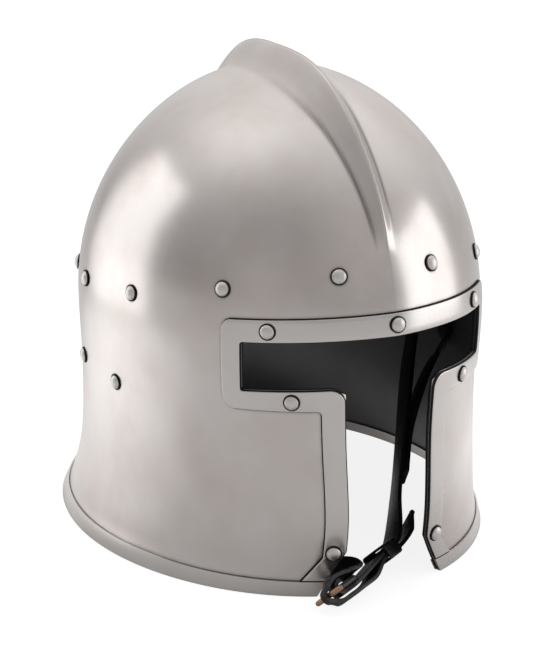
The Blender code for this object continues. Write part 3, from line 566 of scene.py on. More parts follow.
def cap_sheet(bm):
    """Cap of the bowl: a square grid laid over the crown, so its rows run along the comb."""
    across = column_shares()
    along = linspace(-1.0, 1.0, SIDE_COLUMNS)
    wide = len(across) - 1
    made = bmesh.ops.create_grid(bm, x_segments=wide, y_segments=SIDE_COLUMNS, size=1.0)["verts"]
    base = section(PATCH_HEIGHT)[0]
    painted_shade = bm.verts.layers.float["fold"]
    for v in made:
        s = across[round((v.co.x + 1.0) * 0.5 * wide)]
        t = along[round((v.co.y + 1.0) * 0.5 * SIDE_COLUMNS)]
        x, y = disk(s, t)
        share = math.hypot(x, y) * base / HALF_WIDTH
        rise = math.sqrt(max(0.0, 1.0 - min(share, 1.0) ** DOME_POWER["width"]))
        z = SPRING_HEIGHT + (BOWL_HEIGHT - SPRING_HEIGHT) * rise
        v.co = bowl_point(math.atan2(x, -y), z)
        v[painted_shade] = fold_shade(math.atan2(x, -y), z)


def linked(name, data):
    """New object in the scene."""
    made = bpy.data.objects.new(name, data)
    bpy.context.scene.collection.objects.link(made)
    return made


def mesh_of(name, bm, materials):
    """Mesh with its materials from a bmesh, which is freed."""
    mesh = bpy.data.meshes.new(name)
    bm.to_mesh(mesh)
    bm.free()
    for made in materials:
        mesh.materials.append(made)
    return mesh


def finished(name, bm, looks, nodes, smooth_angle=40.0):
    """Turn a bmesh in millimetres into a piece of the part that stands for its nodes."""
    bmesh.ops.translate(bm, verts=bm.verts, vec=SHIFT)
    bmesh.ops.scale(bm, verts=bm.verts, vec=(MM, MM, MM))
    limit = math.radians(smooth_angle)
    for face in bm.faces:
        face.smooth = True
    for edge in bm.edges:
        edge.smooth = len(edge.link_faces) != 2 or edge.calc_face_angle(0.0) < limit
    piece = linked(name, mesh_of(name, bm, [look_named(look) for look in looks]))
    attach(piece, "root")
    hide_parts(*nodes)
    return piece


def pulled(bm, faces, step):
    """Extrude flat faces by a step, with walls under their border; returns the moved faces."""
    up = bmesh.ops.extrude_face_region(bm, geom=faces)["geom"]
    bmesh.ops.translate(bm, verts=[v for v in up if isinstance(v, bmesh.types.BMVert)], vec=step)
    return [f for f in up if isinstance(f, bmesh.types.BMFace)]


def bevelled(bm, geom, width, segments, affect="EDGES"):
    """Round off edges or corners."""
    bmesh.ops.bevel(bm, geom=geom, offset=width, offset_type="OFFSET", affect=affect,
                    segments=segments, profile=0.5, material=-1, clamp_overlap=True)


def soft_edges(bm, width, segments=2, angle=40.0):
    """Round off the sharp edges of a solid."""
    limit = math.radians(angle)
    sharp = [e for e in bm.edges if len(e.link_faces) == 2 and e.calc_face_angle(0.0) > limit]
    bevelled(bm, sharp, width, segments)


def cut_along(bm, length, cuts):
    """Even cuts across the edges that run nearly the whole length along X."""
    long_edges = [e for e in bm.edges
                  if abs(e.verts[0].co.x - e.verts[1].co.x) > 0.5 * length]
    bmesh.ops.subdivide_edges(bm, edges=long_edges, cuts=cuts, use_grid_fill=True)


def long_bar(cuts, width, thickness, rounding):
    """Flat bar from 0 to 1 along X, with rounded edges and even cuts along its length."""
    bm = bmesh.new()
    bmesh.ops.create_cube(bm, size=1.0)
    bmesh.ops.translate(bm, verts=bm.verts, vec=(0.5, 0.0, 0.0))
    bmesh.ops.scale(bm, verts=bm.verts, vec=(STRAP_STRETCH, width, thickness))
    soft_edges(bm, rounding, 3)
    cut_along(bm, STRAP_STRETCH, cuts)
    bmesh.ops.scale(bm, verts=bm.verts, vec=(1.0 / STRAP_STRETCH, 1.0, 1.0))
    return bm


def placed(bm, origin, axes):
    """Put a piece made about the origin in its place, its own axes along the given ones."""
    place = Matrix.Translation(origin) @ Matrix(axes).transposed().to_4x4()
    bmesh.ops.transform(bm, matrix=place, verts=bm.verts)
    bmesh.ops.recalc_face_normals(bm, faces=bm.faces)


# Node groups and materials.

def new_group(name, inputs, outputs):
    """Empty shader node group with its sockets."""
    group = bpy.data.node_groups.new(name, "ShaderNodeTree")
    for label, kind, value in inputs:
        socket = group.interface.new_socket(name=label, in_out="INPUT", socket_type=kind)
        if value is not None:
            socket.default_value = value
    for label, kind in outputs:
        group.interface.new_socket(name=label, in_out="OUTPUT", socket_type=kind)
    return group, group.nodes.new("NodeGroupInput"), group.nodes.new("NodeGroupOutput")


def maths(tree, operation, a, b=None, c=None):
    """Math node fed by sockets or numbers; returns its output."""
    node = tree.nodes.new("ShaderNodeMath")
    node.operation = operation
    for k, value in enumerate((a, b, c)):
        if value is None:
            continue
        if isinstance(value, (int, float)):
            node.inputs[k].default_value = value
        else:
            tree.links.new(value, node.inputs[k])
    return node.outputs[0]


def noise(tree, vector, scale, detail=3.0, roughness=0.5, stretch=None):
    """Noise on a vector, stretched by a Mapping node where asked; returns its factor."""
    if stretch is not None:
        mapping = tree.nodes.new("ShaderNodeMapping")
        mapping.inputs["Scale"].default_value = stretch
        tree.links.new(vector, mapping.inputs["Vector"])
        vector = mapping.outputs["Vector"]
    node = tree.nodes.new("ShaderNodeTexNoise")
    node.inputs["Detail"].default_value = detail
    node.inputs["Roughness"].default_value = roughness
    if isinstance(scale, (int, float)):
        node.inputs["Scale"].default_value = scale
    else:
        tree.links.new(scale, node.inputs["Scale"])
    tree.links.new(vector, node.inputs["Vector"])
    return node.outputs["Fac"]


def mixed(tree, factor, a, b):
    """Colour mix of two sockets or colours."""
    node = tree.nodes.new("ShaderNodeMix")
    node.data_type = "RGBA"
    for key, value in ((0, factor), (6, a), (7, b)):
        if hasattr(value, "is_output"):
            tree.links.new(value, node.inputs[key])
        else:
            node.inputs[key].default_value = value
    return node.outputs[2]


def satin_group():
    """Satin polish: cloudy tone, fine scratches and a slight waviness of beaten sheet."""
    group, start, end = new_group(
        "satin_polish",
        (("Vector", "NodeSocketVector", None), ("Clouds", "NodeSocketFloat", 0.1),
         ("Scratches", "NodeSocketFloat", 0.1), ("Waves", "NodeSocketFloat", 0.5),
         ("Base", "NodeSocketColor", (0.6, 0.6, 0.6, 1.0)),
         ("Stain", "NodeSocketColor", (0.5, 0.46, 0.45, 1.0)),
         ("Polish", "NodeSocketFloat", 0.25)),
        (("Color", "NodeSocketColor"), ("Roughness", "NodeSocketFloat"), ("Height", "NodeSocketFloat")))
    place = start.outputs["Vector"]
    clouds = noise(group, place, 22.0, 4.0, 0.55)
    fine = noise(group, place, 900.0, 2.0, 0.6, stretch=(1.0, 1.0, 0.12))
    cross = noise(group, place, 700.0, 2.0, 0.6, stretch=(0.15, 0.15, 1.0))
    waves = noise(group, place, 26.0, 1.0, 0.4)
    patch = maths(group, "MULTIPLY", maths(group, "SUBTRACT", clouds, 0.42), 4.0)
    patch = maths(group, "MULTIPLY", maths(group, "MINIMUM", maths(group, "MAXIMUM", patch, 0.0), 1.0),
                  start.outputs["Clouds"])
    tone = mixed(group, patch, start.outputs["Base"], start.outputs["Stain"])
    group.links.new(tone, end.inputs["Color"])
    lines = maths(group, "SUBTRACT", maths(group, "ADD", fine, cross), 1.0)
    rough = maths(group, "MULTIPLY_ADD", lines, start.outputs["Scratches"], start.outputs["Polish"])
    rough = maths(group, "MULTIPLY_ADD", maths(group, "SUBTRACT", clouds, 0.5), 0.08, rough)
    group.links.new(rough, end.inputs["Roughness"])
    high = maths(group, "MULTIPLY", lines, 0.0015)
    high = maths(group, "MULTIPLY_ADD", waves, start.outputs["Waves"], high)
    group.links.new(high, end.inputs["Height"])
    return group


def corner_shade_group():
    """Painted shade: darkening in corners and along edges by ambient occlusion, broken up by noise
    spots.
    """
    group, start, end = new_group(
        "painted_edge_shade",
        (("Vector", "NodeSocketVector", None), ("Color", "NodeSocketColor", (0.6, 0.6, 0.6, 1.0)),
         ("Shade", "NodeSocketColor", (0.1, 0.09, 0.08, 1.0)), ("Reach", "NodeSocketFloat", 0.002),
         ("Amount", "NodeSocketFloat", 0.6)),
        (("Color", "NodeSocketColor"), ("Mask", "NodeSocketFloat")))
    hollow = group.nodes.new("ShaderNodeAmbientOcclusion")
    hollow.samples = 4
    group.links.new(start.outputs["Reach"], hollow.inputs["Distance"])
    spots = noise(group, start.outputs["Vector"], 160.0, 3.0, 0.6)
    dark = maths(group, "SUBTRACT", 1.0, hollow.outputs["AO"])
    dark = maths(group, "MULTIPLY", dark, maths(group, "ADD", spots, 0.5))
    dark = maths(group, "MULTIPLY", dark, start.outputs["Amount"])
    dark = maths(group, "MINIMUM", dark, 1.0)
    tone = mixed(group, dark, start.outputs["Color"], start.outputs["Shade"])
    group.links.new(tone, end.inputs["Color"])
    group.links.new(dark, end.inputs["Mask"])
    return group


def leather_group():
    """Leather grain with creases and a little rubbing of the surface."""
    group, start, end = new_group(
        "leather_grain",
        (("Vector", "NodeSocketVector", None), ("Base", "NodeSocketColor", (0.02, 0.02, 0.02, 1.0)),
         ("Rubbed", "NodeSocketColor", (0.045, 0.04, 0.037, 1.0)), ("Size", "NodeSocketFloat", 900.0)),
        (("Color", "NodeSocketColor"), ("Roughness", "NodeSocketFloat"), ("Height", "NodeSocketFloat")))
    place = start.outputs["Vector"]
    cells = group.nodes.new("ShaderNodeTexVoronoi")
    cells.inputs["Randomness"].default_value = 0.9
    group.links.new(place, cells.inputs["Vector"])
    group.links.new(start.outputs["Size"], cells.inputs["Scale"])
    folds = noise(group, place, 120.0, 4.0, 0.6)
    rub = maths(group, "MULTIPLY", maths(group, "SUBTRACT", folds, 0.52), 3.0)
    rub = maths(group, "MINIMUM", maths(group, "MAXIMUM", rub, 0.0), 0.5)
    tone = mixed(group, rub, start.outputs["Base"], start.outputs["Rubbed"])
    group.links.new(tone, end.inputs["Color"])
    rough = maths(group, "MULTIPLY_ADD", folds, 0.25, 0.3)
    group.links.new(rough, end.inputs["Roughness"])
    high = maths(group, "MULTIPLY_ADD", folds, 0.6, cells.outputs["Distance"])
    group.links.new(high, end.inputs["Height"])
    return group


def shader(name):
    """New material with its Principled shader and an object-space vector."""
    mat = bpy.data.materials.new(name)
    mat.use_nodes = True
    tree = mat.node_tree
    place = tree.nodes.new("ShaderNodeTexCoord").outputs["Object"]
    return mat, tree, tree.nodes["Principled BSDF"], place


def use_group(tree, group, **values):
    """Place a node group in a material; a value may be a socket or a number or a colour."""
    node = tree.nodes.new("ShaderNodeGroup")
    node.node_tree = group
    for label, value in values.items():
        if hasattr(value, "is_output"):
            tree.links.new(value, node.inputs[label])
        else:
            node.inputs[label].default_value = value
    return node


def shade(colour, *shares):
    """Opaque colour with its channels taken down, all alike or each by its own share."""
    shares = shares if len(shares) == 3 else shares * 3
    return tuple(channel * share for channel, share in zip(colour, shares)) + (1.0,)


def dressed(tree, body, look, tone, distance, strength):
    """Tone, roughness and bump of a look on a Principled shader."""
    tree.links.new(tone, body.inputs["Base Color"])
    tree.links.new(look.outputs["Roughness"], body.inputs["Roughness"])
    bump = tree.nodes.new("ShaderNodeBump")
    bump.inputs["Distance"].default_value = distance
    bump.inputs["Strength"].default_value = strength
    tree.links.new(look.outputs["Height"], bump.inputs["Height"])
    tree.links.new(bump.outputs["Normal"], body.inputs["Normal"])


def steel(name, colour, polish, clouds, scratches, waves, painted_shade, folded=False):
    """Satin steel with painted shade in its corners, and painted shade with some unpolished steel in the
    comb's fold where it has one.
    """
    mat, tree, body, place = shader(name)
    look = use_group(tree, group_named("satin_polish"), Vector=place, Clouds=clouds,
                     Scratches=scratches, Waves=waves, Base=(*colour, 1.0),
                     Stain=shade(colour, 0.90, 0.85, 0.83), Polish=polish)
    # Painted shade: ambient occlusion darkens the corners and edges of the steel.
    corner_shaded = use_group(tree, group_named("painted_edge_shade"), Vector=place, Color=look.outputs["Color"],
                      Reach=0.0022, Amount=painted_shade)
    tone = corner_shaded.outputs["Color"]
    if folded:
        # Painted shade in the comb's fold, partly also unpolished steel: the fold layer darkens the
        # tone.
        fold = tree.nodes.new("ShaderNodeAttribute")
        fold.attribute_name = "fold"
        fold_shade_mask = maths(tree, "MULTIPLY", fold.outputs["Fac"], 0.82)
        tone = mixed(tree, fold_shade_mask, tone, (0.10, 0.092, 0.088, 1.0))
    body.inputs["Metallic"].default_value = 1.0
    dressed(tree, body, look, tone, 0.0004, 1.0)
    return mat


def blackened(name, colour, roughness):
    """Blackened steel of the inside and of the buckle's frame."""
    mat, tree, body, place = shader(name)
    look = use_group(tree, group_named("satin_polish"), Vector=place, Clouds=0.7, Scratches=0.2,
                     Waves=0.4, Base=(*colour, 1.0), Stain=shade(colour, 0.6), Polish=roughness)
    body.inputs["Metallic"].default_value = 0.35
    dressed(tree, body, look, look.outputs["Color"], 0.0006, 1.0)
    return mat


def dead_black(name, colour):
    """Dull black without shine: the blackened cut edge of the plate, and painted shade along the strip's
    seam and round the rivet feet.
    """
    mat, tree, body, place = shader(name)
    look = use_group(tree, group_named("satin_polish"), Vector=place, Clouds=0.8, Scratches=0.1,
                     Waves=0.2, Base=shade(colour, 0.5), Stain=(*colour, 1.0), Polish=0.6)
    body.inputs["Specular IOR Level"].default_value = 0.12
    dressed(tree, body, look, look.outputs["Color"], 0.0003, 0.5)
    return mat


def leather(name, colour):
    """Black leather with a fine grain."""
    mat, tree, body, place = shader(name)
    look = use_group(tree, group_named("leather_grain"), Vector=place, Base=(*colour, 1.0))
    body.inputs["Specular IOR Level"].default_value = 0.35
    dressed(tree, body, look, look.outputs["Color"], 0.0003, 0.6)
    return mat


def group_named(name):
    """Shared node group, built the first time it is used."""
    makers = {"satin_polish": satin_group, "painted_edge_shade": corner_shade_group,
              "leather_grain": leather_group}
    return bpy.data.node_groups.get(name) or makers[name]()


def look_named(name):
    """Shared material, built the first time it is used."""
    colours = bpy.context.scene.barbute_colours
    makers = {
        "satin_steel": lambda: steel("satin_steel", colours.steel, 0.24, 0.80, 0.05, 0.34, 1.6, True),
        "strip_steel": lambda: steel("strip_steel", colours.trim, 0.26, 0.35, 0.03, 0.12, 0.25),
        "rivet_steel": lambda: steel("rivet_steel", colours.rivet, 0.13, 0.3, 0.03, 0.05, 1.0),
        "black_steel": lambda: blackened("black_steel", colours.inside, 0.42),
        "black_edge_and_shade": lambda: dead_black("black_edge_and_shade", colours.black),
        "black_leather": lambda: leather("black_leather", colours.leather),
        "black_iron": lambda: blackened("black_iron", colours.black, 0.35),
        "dull_bronze": lambda: steel("dull_bronze", colours.bronze, 0.34, 0.8, 0.2, 0.1, 1.0),
    }
    return bpy.data.materials.get(name) or makers[name]()


# Strap paths.

def fastening_axes():
    """Run towards the keeper, width direction and face direction of the buckle."""
    azimuth = math.radians(FASTENING_AZIMUTH)
    lean = math.radians(FASTENING_LEAN)
    run = Vector((math.cos(azimuth), math.sin(azimuth), 0.0))
    level = Vector((math.sin(azimuth), -math.cos(azimuth), 0.0))
    width = level * math.cos(lean) + Vector((0.0, 0.0, math.sin(lean)))
    return run, width, width.cross(run)


RUN, ACROSS, FACE = fastening_axes()


def fastening_point(along, out, aside=0.0):
    """Place near the buckle: along the run, out of the strap's face, and aside across its width."""
    return Vector(BUCKLE_CENTRE) + RUN * along + FACE * out + ACROSS * aside


def inside_place(across, along, up):
    """Place in the hollow, as shares of the half width, the front reach and the spring height."""
    return Vector((HALF_WIDTH * across, FRONT_REACH * along, SPRING_HEIGHT * up))


def strap_frames(stations, steps):
    """Places, width directions and face directions along a path through a short table of stations."""
    knots = [0.0]
    for (a, _), (b, _) in zip(stations, stations[1:]):
        knots.append(knots[-1] + (b - a).length)
    columns = list(zip(*[(*p, *w) for p, w in stations]))
    at = [knots[0]]
    for low, high in zip(knots, knots[1:]):
        at += linspace(low, high, steps)[1:]
    rows = [[smooth_curve(knots, column, x) for column in columns] for x in at]
    places = [Vector(row[0:3]) for row in rows]
    frames = []
    for i, place in enumerate(places):
        tangent = (places[min(i + 1, len(places) - 1)] - places[max(i - 1, 0)]).normalized()
        width = Vector(rows[i][3:6])
        width = (width - tangent * width.dot(tangent)).normalized()
        frames.append((place, width, tangent.cross(width)))
    return frames


def beside(frames, share, toward):
    """Station lying against a strap's face at a share of its table, on the side of a direction."""
    place, width, face = frames[round(share * (len(frames) - 1))]
    side = 1.0 if face.dot(toward) > 0.0 else -1.0
    thickness = bpy.context.scene.barbute_sizes.strap_thickness
    return place + face * side * (thickness + 2.0 * STRAP_CLEARANCE), width


def wall_station(side, angle, z):
    """Place of the strap flat against the inside of the bowl."""
    sizes = bpy.context.scene.barbute_sizes
    phi = side * math.radians(angle)
    depth = sizes.wall + WALL_CLEARANCE + 0.5 * sizes.strap_thickness
    return bowl_point(phi, z) - bowl_normal(phi, z) * depth


def wall_leg(side, row):
    """First stations of a leg: its tab behind the rivet, the rivet, and where it leaves the wall."""
    _, angle, z, tab_angle, tab_z, leave_angle, leave_z = row
    places = [wall_station(side, tab_angle, tab_z), wall_station(side, angle, z),
              wall_station(side, leave_angle, leave_z)]
    width = bowl_normal(side * math.radians(angle), z).cross(places[2] - places[0]).normalized()
    if width.z < 0.0:
        width = -width
    return [(place, width) for place in places]


def strap_piece(name, frames, nodes, tip=0.0, waist=None):
    """Leather strap bent along its frames, its start cut to a tab and its end to a point if asked.

    A waist is a place, the share of the width left there, and the distances where it starts and ends.
    """
    sizes = bpy.context.scene.barbute_sizes
    reach = [0.0]
    for a, b in zip(frames, frames[1:]):
        reach.append(reach[-1] + (b[0] - a[0]).length)
    total = reach[-1]
    bm = long_bar(int(total / STRAP_CELL), sizes.strap_width, sizes.strap_thickness, EDGE_ROUNDING)
    for v in bm.verts:
        s = clamp(v.co.x, 0.0, 1.0) * total
        low = clamp(bisect_right(reach, s) - 1, 0, len(reach) - 2)
        t = (s - reach[low]) / max(1e-9, reach[low + 1] - reach[low])
        place, width, face = [a.lerp(b, t) for a, b in zip(frames[low], frames[low + 1])]
        share = min(1.0, max(0.25, s / TAB_LENGTH))
        if tip > 0.0:
            share = min(share, max(0.14, (total - s) / tip))
        if waist is not None:
            centre, narrow, inner, outer = waist
            away = ((place - centre).length - inner) / (outer - inner)
            share *= lerp(narrow, 1.0, clamp(away, 0.0, 1.0))
        v.co = place + width.normalized() * v.co.y * share + face.normalized() * v.co.z
    return finished(name, bm, ["black_leather"], nodes)


def hidden_stations(*rows):
    """Stations in the hollow, from their places and width directions."""
    return [(inside_place(*place), Vector(width)) for place, width in rows]


def buckle_stations(*rows):
    """Stations near the buckle, flat across it, from their distances."""
    return [(fastening_point(*row), ACROSS) for row in rows]


def turn_sizes():
    """Reach of a turn round a rod, its reach at half a right angle, and half a doubled strap."""
    sizes = bpy.context.scene.barbute_sizes
    over = sizes.rod_radius + STRAP_CLEARANCE + 0.5 * sizes.strap_thickness
    return over, over * math.sqrt(0.5), 0.5 * (sizes.strap_thickness + STRAP_CLEARANCE)


def far_rod():
    """Distance of the frame's front rod from the bar, along the run."""
    return 2.0 * bpy.context.scene.barbute_sizes.rod_radius + GAP - FRAME_LENGTH


def left_frames(steps):
    """Frames of the left half: rear leg, run, and turn round the buckle's bar."""
    over, turn, split = turn_sizes()
    return strap_frames(wall_leg(1.0, STRAP_LEGS[1]) + hidden_stations(
        ((0.714, -0.078, 0.557), (0.3, -0.5, 0.8)),
        ((0.488, -0.357, 0.386), (0.0, -0.8, 0.6)),
        ((0.316, -0.556, 0.193), (-0.1, -0.85, 0.5)),
    ) + buckle_stations(
        (KEEPER_DISTANCE + 14.0, split + 1.0), (KEEPER_DISTANCE, split),
        (0.5 * KEEPER_DISTANCE, -0.5 * over), (9.0, -over), (0.0, -over), (-turn, -turn),
        (-over, 0.0), (-turn, turn), (0.0, over), (2.6, over),
    ), steps)


def right_frames(steps):
    """Frames of the right half: rear leg, run, turn round the far rod, and tail through the keeper."""
    thickness = bpy.context.scene.barbute_sizes.strap_thickness
    over, turn, split = turn_sizes()
    low = -over - thickness - STRAP_CLEARANCE - 0.4
    rod_at = far_rod()
    return strap_frames(wall_leg(-1.0, STRAP_LEGS[1]) + hidden_stations(
        ((-0.795, -0.243, 0.414), (0.0, -0.5, 0.85)),
        ((-0.632, -0.528, 0.157), (0.1, -0.3, 0.95)),
        ((-0.416, -0.713, 0.079), (0.1, -0.2, 0.97)),
        ((-0.217, -0.827, 0.074), (0.2, -0.3, 0.93)),
    ) + buckle_stations(
        (21.0, 3.4), (11.0, 4.6), (0.0, over + thickness + STRAP_CLEARANCE + 0.4),
        (rod_at + 4.0, over + 1.2), (rod_at, over), (rod_at - turn, turn), (rod_at - over, 0.0),
        (rod_at - turn, -turn), (rod_at, -over), (-4.0, low), (14.0, low - 0.5), (28.0, low - 0.2),
        (KEEPER_DISTANCE - 10.0, -split - 0.8), (KEEPER_DISTANCE, -split),
        (KEEPER_DISTANCE + 12.0, -split), (KEEPER_DISTANCE + 26.0, -split + 3.0, 1.5),
        (KEEPER_DISTANCE + 42.0, -split + 11.0, 5.0),
    ), steps)


class BARBUTE_OT_skull(bpy.types.Operator):
    """Bowl of satin steel, blackened inside"""
    bl_idname = "barbute.skull"
    bl_label = "Skull"

    def execute(self, context):
        bm = bmesh.new()
        bm.verts.layers.float.new("fold")
        wall_sheet(bm)
        cap_sheet(bm)
        bmesh.ops.remove_doubles(bm, verts=bm.verts, dist=MERGE_DISTANCE)
        bmesh.ops.recalc_face_normals(bm, faces=bm.faces)
        top = max(bm.verts, key=lambda v: v.co.z)
        bm.normal_update()
        if top.normal.z < 0.0:
            bmesh.ops.reverse_faces(bm, faces=bm.faces)
        piece = finished("skull_plate", bm, ["satin_steel", "black_steel", "black_edge_and_shade"], ["skull"],
                         180.0)
        wall = piece.modifiers.new("plate", "SOLIDIFY")
        wall.thickness = context.scene.barbute_sizes.wall * MM
        wall.offset = -1.0
        wall.material_offset = 1
        wall.material_offset_rim = 2
        return {"FINISHED"}


class BARBUTE_OT_strip(bpy.types.Operator):
    """Riveted steel strip round the face opening"""
    bl_idname = "barbute.strip"
    bl_label = "Face strip"

    def execute(self, context):
        bm = bmesh.new()
        foot = BAND_HEIGHT + GAP
        cut = CHEEK_CUT_HEIGHT - TRIM_WIDTH * 0.21
        side = SIGHT_HALF_SPAN + TRIM_SIDE_WIDTH
        brow = SIGHT_TOP + TRIM_WIDTH
        # Corners on the wearer's left: distance, height and rounding.
        inner = (
            (half_gap(foot), foot, 0.0),
            (CHEEK_HALF_GAP, CHEEK_CUT_HEIGHT, CHEEK_CUT_RADIUS),
            (NASAL_HALF_GAP, SIGHT_BOTTOM, NASAL_CORNER_RADIUS),
            (SIGHT_HALF_SPAN, SIGHT_BOTTOM, SIGHT_CORNER_RADIUS),
            (SIGHT_HALF_SPAN, SIGHT_TOP, SIGHT_CORNER_RADIUS),
        )
        outer = (
            (side, brow, TRIM_UPPER_RADIUS),
            (side, SIGHT_BOTTOM - TRIM_UNDER_WIDTH, TRIM_LOWER_RADIUS),
            (NASAL_HALF_GAP + TRIM_WIDTH, SIGHT_BOTTOM - TRIM_WIDTH, TRIM_NASAL_RADIUS),
            (CHEEK_HALF_GAP + TRIM_WIDTH, cut, CHEEK_CUT_RADIUS),
            (half_gap(foot) + TRIM_WIDTH * 1.12, foot, 0.0),
        )
        loop = [(-d, h, r) for d, h, r in inner] + list(inner[::-1] + outer[::-1])
        loop += [(-d, h, r) for d, h, r in outer]
        verts = [bm.verts.new((d, h, 0.0)) for d, h, _ in loop]
        bm.faces.new(verts)
        for v, (_, _, radius) in zip(verts, loop):
            if radius > 0.0 and v.is_valid:
                turn = max(0.15, math.tan(0.5 * v.calc_edge_angle(math.pi / 2.0)))
                bevelled(bm, [v], radius * turn, 6, "VERTICES")
        # A thin dark flange under the strip shows round its edge: painted shade along the seam.
        top = pulled(bm, list(bm.faces), (0.0, 0.0, SEAM_SHADE_THICKNESS))
        bmesh.ops.inset_region(bm, faces=top, thickness=SEAM_SHADE_WIDTH, use_even_offset=True)
        pulled(bm, top, (0.0, 0.0, context.scene.barbute_sizes.trim - SEAM_SHADE_THICKNESS))
        bmesh.ops.recalc_face_normals(bm, faces=bm.faces)
        rim = [e for e in bm.edges if all(v.co.z > 0.5 for v in e.verts)]
        bevelled(bm, rim, EDGE_ROUNDING, 3)
        # Painted shade: the flange and the strip's side walls take the dull black, a dark outline round
        # the strip.
        for face in bm.faces:
            face.normal_update()
            low = face.calc_center_median().z < SEAM_SHADE_THICKNESS + 0.01
            face.material_index = 1 if low or face.normal.z < 0.5 else 0
        for normal, low, high, step in ((Vector((1.0, 0.0, 0.0)), -side, side, STRIP_CELL_ACROSS),
                                        (Vector((0.0, 1.0, 0.0)), foot, brow, STRIP_CELL_UP)):
            for at in linspace(low, high, int((high - low) / step))[1:-1]:
                bmesh.ops.bisect_plane(bm, geom=bm.verts[:] + bm.edges[:] + bm.faces[:], dist=1e-5,
                                       plane_co=normal * (at + CELL_OFFSET), plane_no=normal)
        for v in bm.verts:
            v.co = face_point(v.co.x, v.co.y, v.co.z + GAP)
        bmesh.ops.recalc_face_normals(bm, faces=bm.faces)
        finished("face_strip", bm, ["strip_steel", "black_edge_and_shade"], ["face_trim"], 35.0)
        return {"FINISHED"}


class BARBUTE_OT_band(bpy.types.Operator):
    """Steel band folded over the lower edge"""
    bl_idname = "barbute.band"
    bl_label = "Rim band"

    def execute(self, context):
        wall = context.scene.barbute_sizes.wall
        out = GAP + BAND_THICKNESS
        inside = -wall - GAP
        far = inside - BAND_THICKNESS
        profile = ((GAP, BAND_HEIGHT), (out, BAND_HEIGHT), (out, 0.0), (far, 0.0),
                   (far, BAND_INNER_HEIGHT), (inside, BAND_INNER_HEIGHT), (inside, BAND_THICKNESS),
                   (GAP, BAND_THICKNESS))
        bm = bmesh.new()
        bm.faces.new([bm.verts.new((0.0, offset, z)) for offset, z in profile])
        pulled(bm, list(bm.faces), (BAND_STRETCH, 0.0, 0.0))
        bmesh.ops.recalc_face_normals(bm, faces=bm.faces)
        folds = [e for e in bm.edges if abs(e.verts[0].co.x - e.verts[1].co.x) > 1.0
                 and e.verts[0].co.z in (0.0, BAND_HEIGHT)]
        bevelled(bm, folds, EDGE_ROUNDING, 3)
        ring = ring_places()[:-1]
        start = next(k for k, (s, t) in enumerate(ring) if t == -1.0 and s > NASAL_SHARE - 1e-9)
        stop = next(k for k, (s, t) in enumerate(ring) if t == -1.0 and s > -NASAL_SHARE - 1e-9)
        order = list(range(start, len(ring))) + list(range(0, stop + 1))
        cut_along(bm, BAND_STRETCH, len(order) - 2)
        for v in bm.verts:
            s, t = ring[order[round(v.co.x / BAND_STRETCH * (len(order) - 1))]]
            z = v.co.z
            phi = column_angle(s, t, z)
            level = max(z, SHELL_BOTTOM)
            normal = bowl_normal(phi, level)
            flat = Vector((normal.x, normal.y, 0.0)).normalized()
            point = bowl_point(phi, level) + flat * v.co.y
            v.co = Vector((point.x, point.y, z))
        bmesh.ops.recalc_face_normals(bm, faces=bm.faces)
        finished("rim_fold", bm, ["strip_steel"], ["rim_band"])
        return {"FINISHED"}


class BARBUTE_OT_rivets(bpy.types.Operator):
    """Domed rivet heads on strip and bowl"""
    bl_idname = "barbute.rivets"
    bl_label = "Rivets"

    def execute(self, context):
        sizes = context.scene.barbute_sizes
        for name, part in (("strip_rivets", "trim_rivet"), ("liner_rivets", "liner_rivet"),
                           ("strap_rivets", "strap_rivet")):
            bm = bmesh.new()
            nodes = sorted(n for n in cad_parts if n.startswith(part))
            for node in nodes:
                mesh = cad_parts[node].data
                corners = [v.co / MM - SHIFT for v in mesh.vertices]
                middle = sum(corners, Vector()) / len(corners)
                normal = -self.base_normal(mesh)
                base = middle - normal * max((middle - c).dot(normal) for c in corners)
                self.head(bm, base, normal, sizes)
            finished(name, bm, ["rivet_steel", "black_edge_and_shade"], nodes, 50.0)
        return {"FINISHED"}

    @staticmethod
    def base_normal(mesh):
        """Direction that the flat back of a head looks, the largest of its flat sides."""
        sides = {}
        for polygon in mesh.polygons:
            key = tuple(round(c, 2) for c in polygon.normal)
            sides[key] = sides.get(key, Vector()) + polygon.normal * polygon.area
        return max(sides.values(), key=lambda side: side.length).normalized()

    @staticmethod
    def head(bm, base, normal, sizes):
        """Turn one domed head about its axis."""
        def near():
            middle = Vector((0.0, 0.0, HEAD_MIDDLE))
            return [v for v in bm.verts if (v.co - middle).length < HEAD_REACH]

        points = [bm.verts.new((r * sizes.rivet_radius * HEAD_SHARE, 0.0, h * sizes.rivet_rise))
                  for r, h in HEAD_SHAPE]
        edges = [bm.edges.new(pair) for pair in zip(points, points[1:])]
        bmesh.ops.spin(bm, geom=points + edges, cent=(0.0, 0.0, 0.0), axis=(0.0, 0.0, 1.0),
                       dvec=(0.0, 0.0, 0.0), angle=2.0 * math.pi, steps=sizes.rivet_sides,
                       use_merge=True, use_duplicate=False)
        bmesh.ops.remove_doubles(bm, verts=near(), dist=0.001)
        made = near()
        faces = list({f for v in made for f in v.link_faces})
        bmesh.ops.recalc_face_normals(bm, faces=faces)
        # Painted shade: the ring round the head's foot takes the dull black.
        for face in faces:
            low = face.calc_center_median().z < HEAD_RING * sizes.rivet_rise
            face.material_index = 1 if low else 0
        turn = Vector((0.0, 0.0, 1.0)).rotation_difference(normal).to_matrix().to_4x4()
        bmesh.ops.transform(bm, matrix=Matrix.Translation(base) @ turn, verts=made)


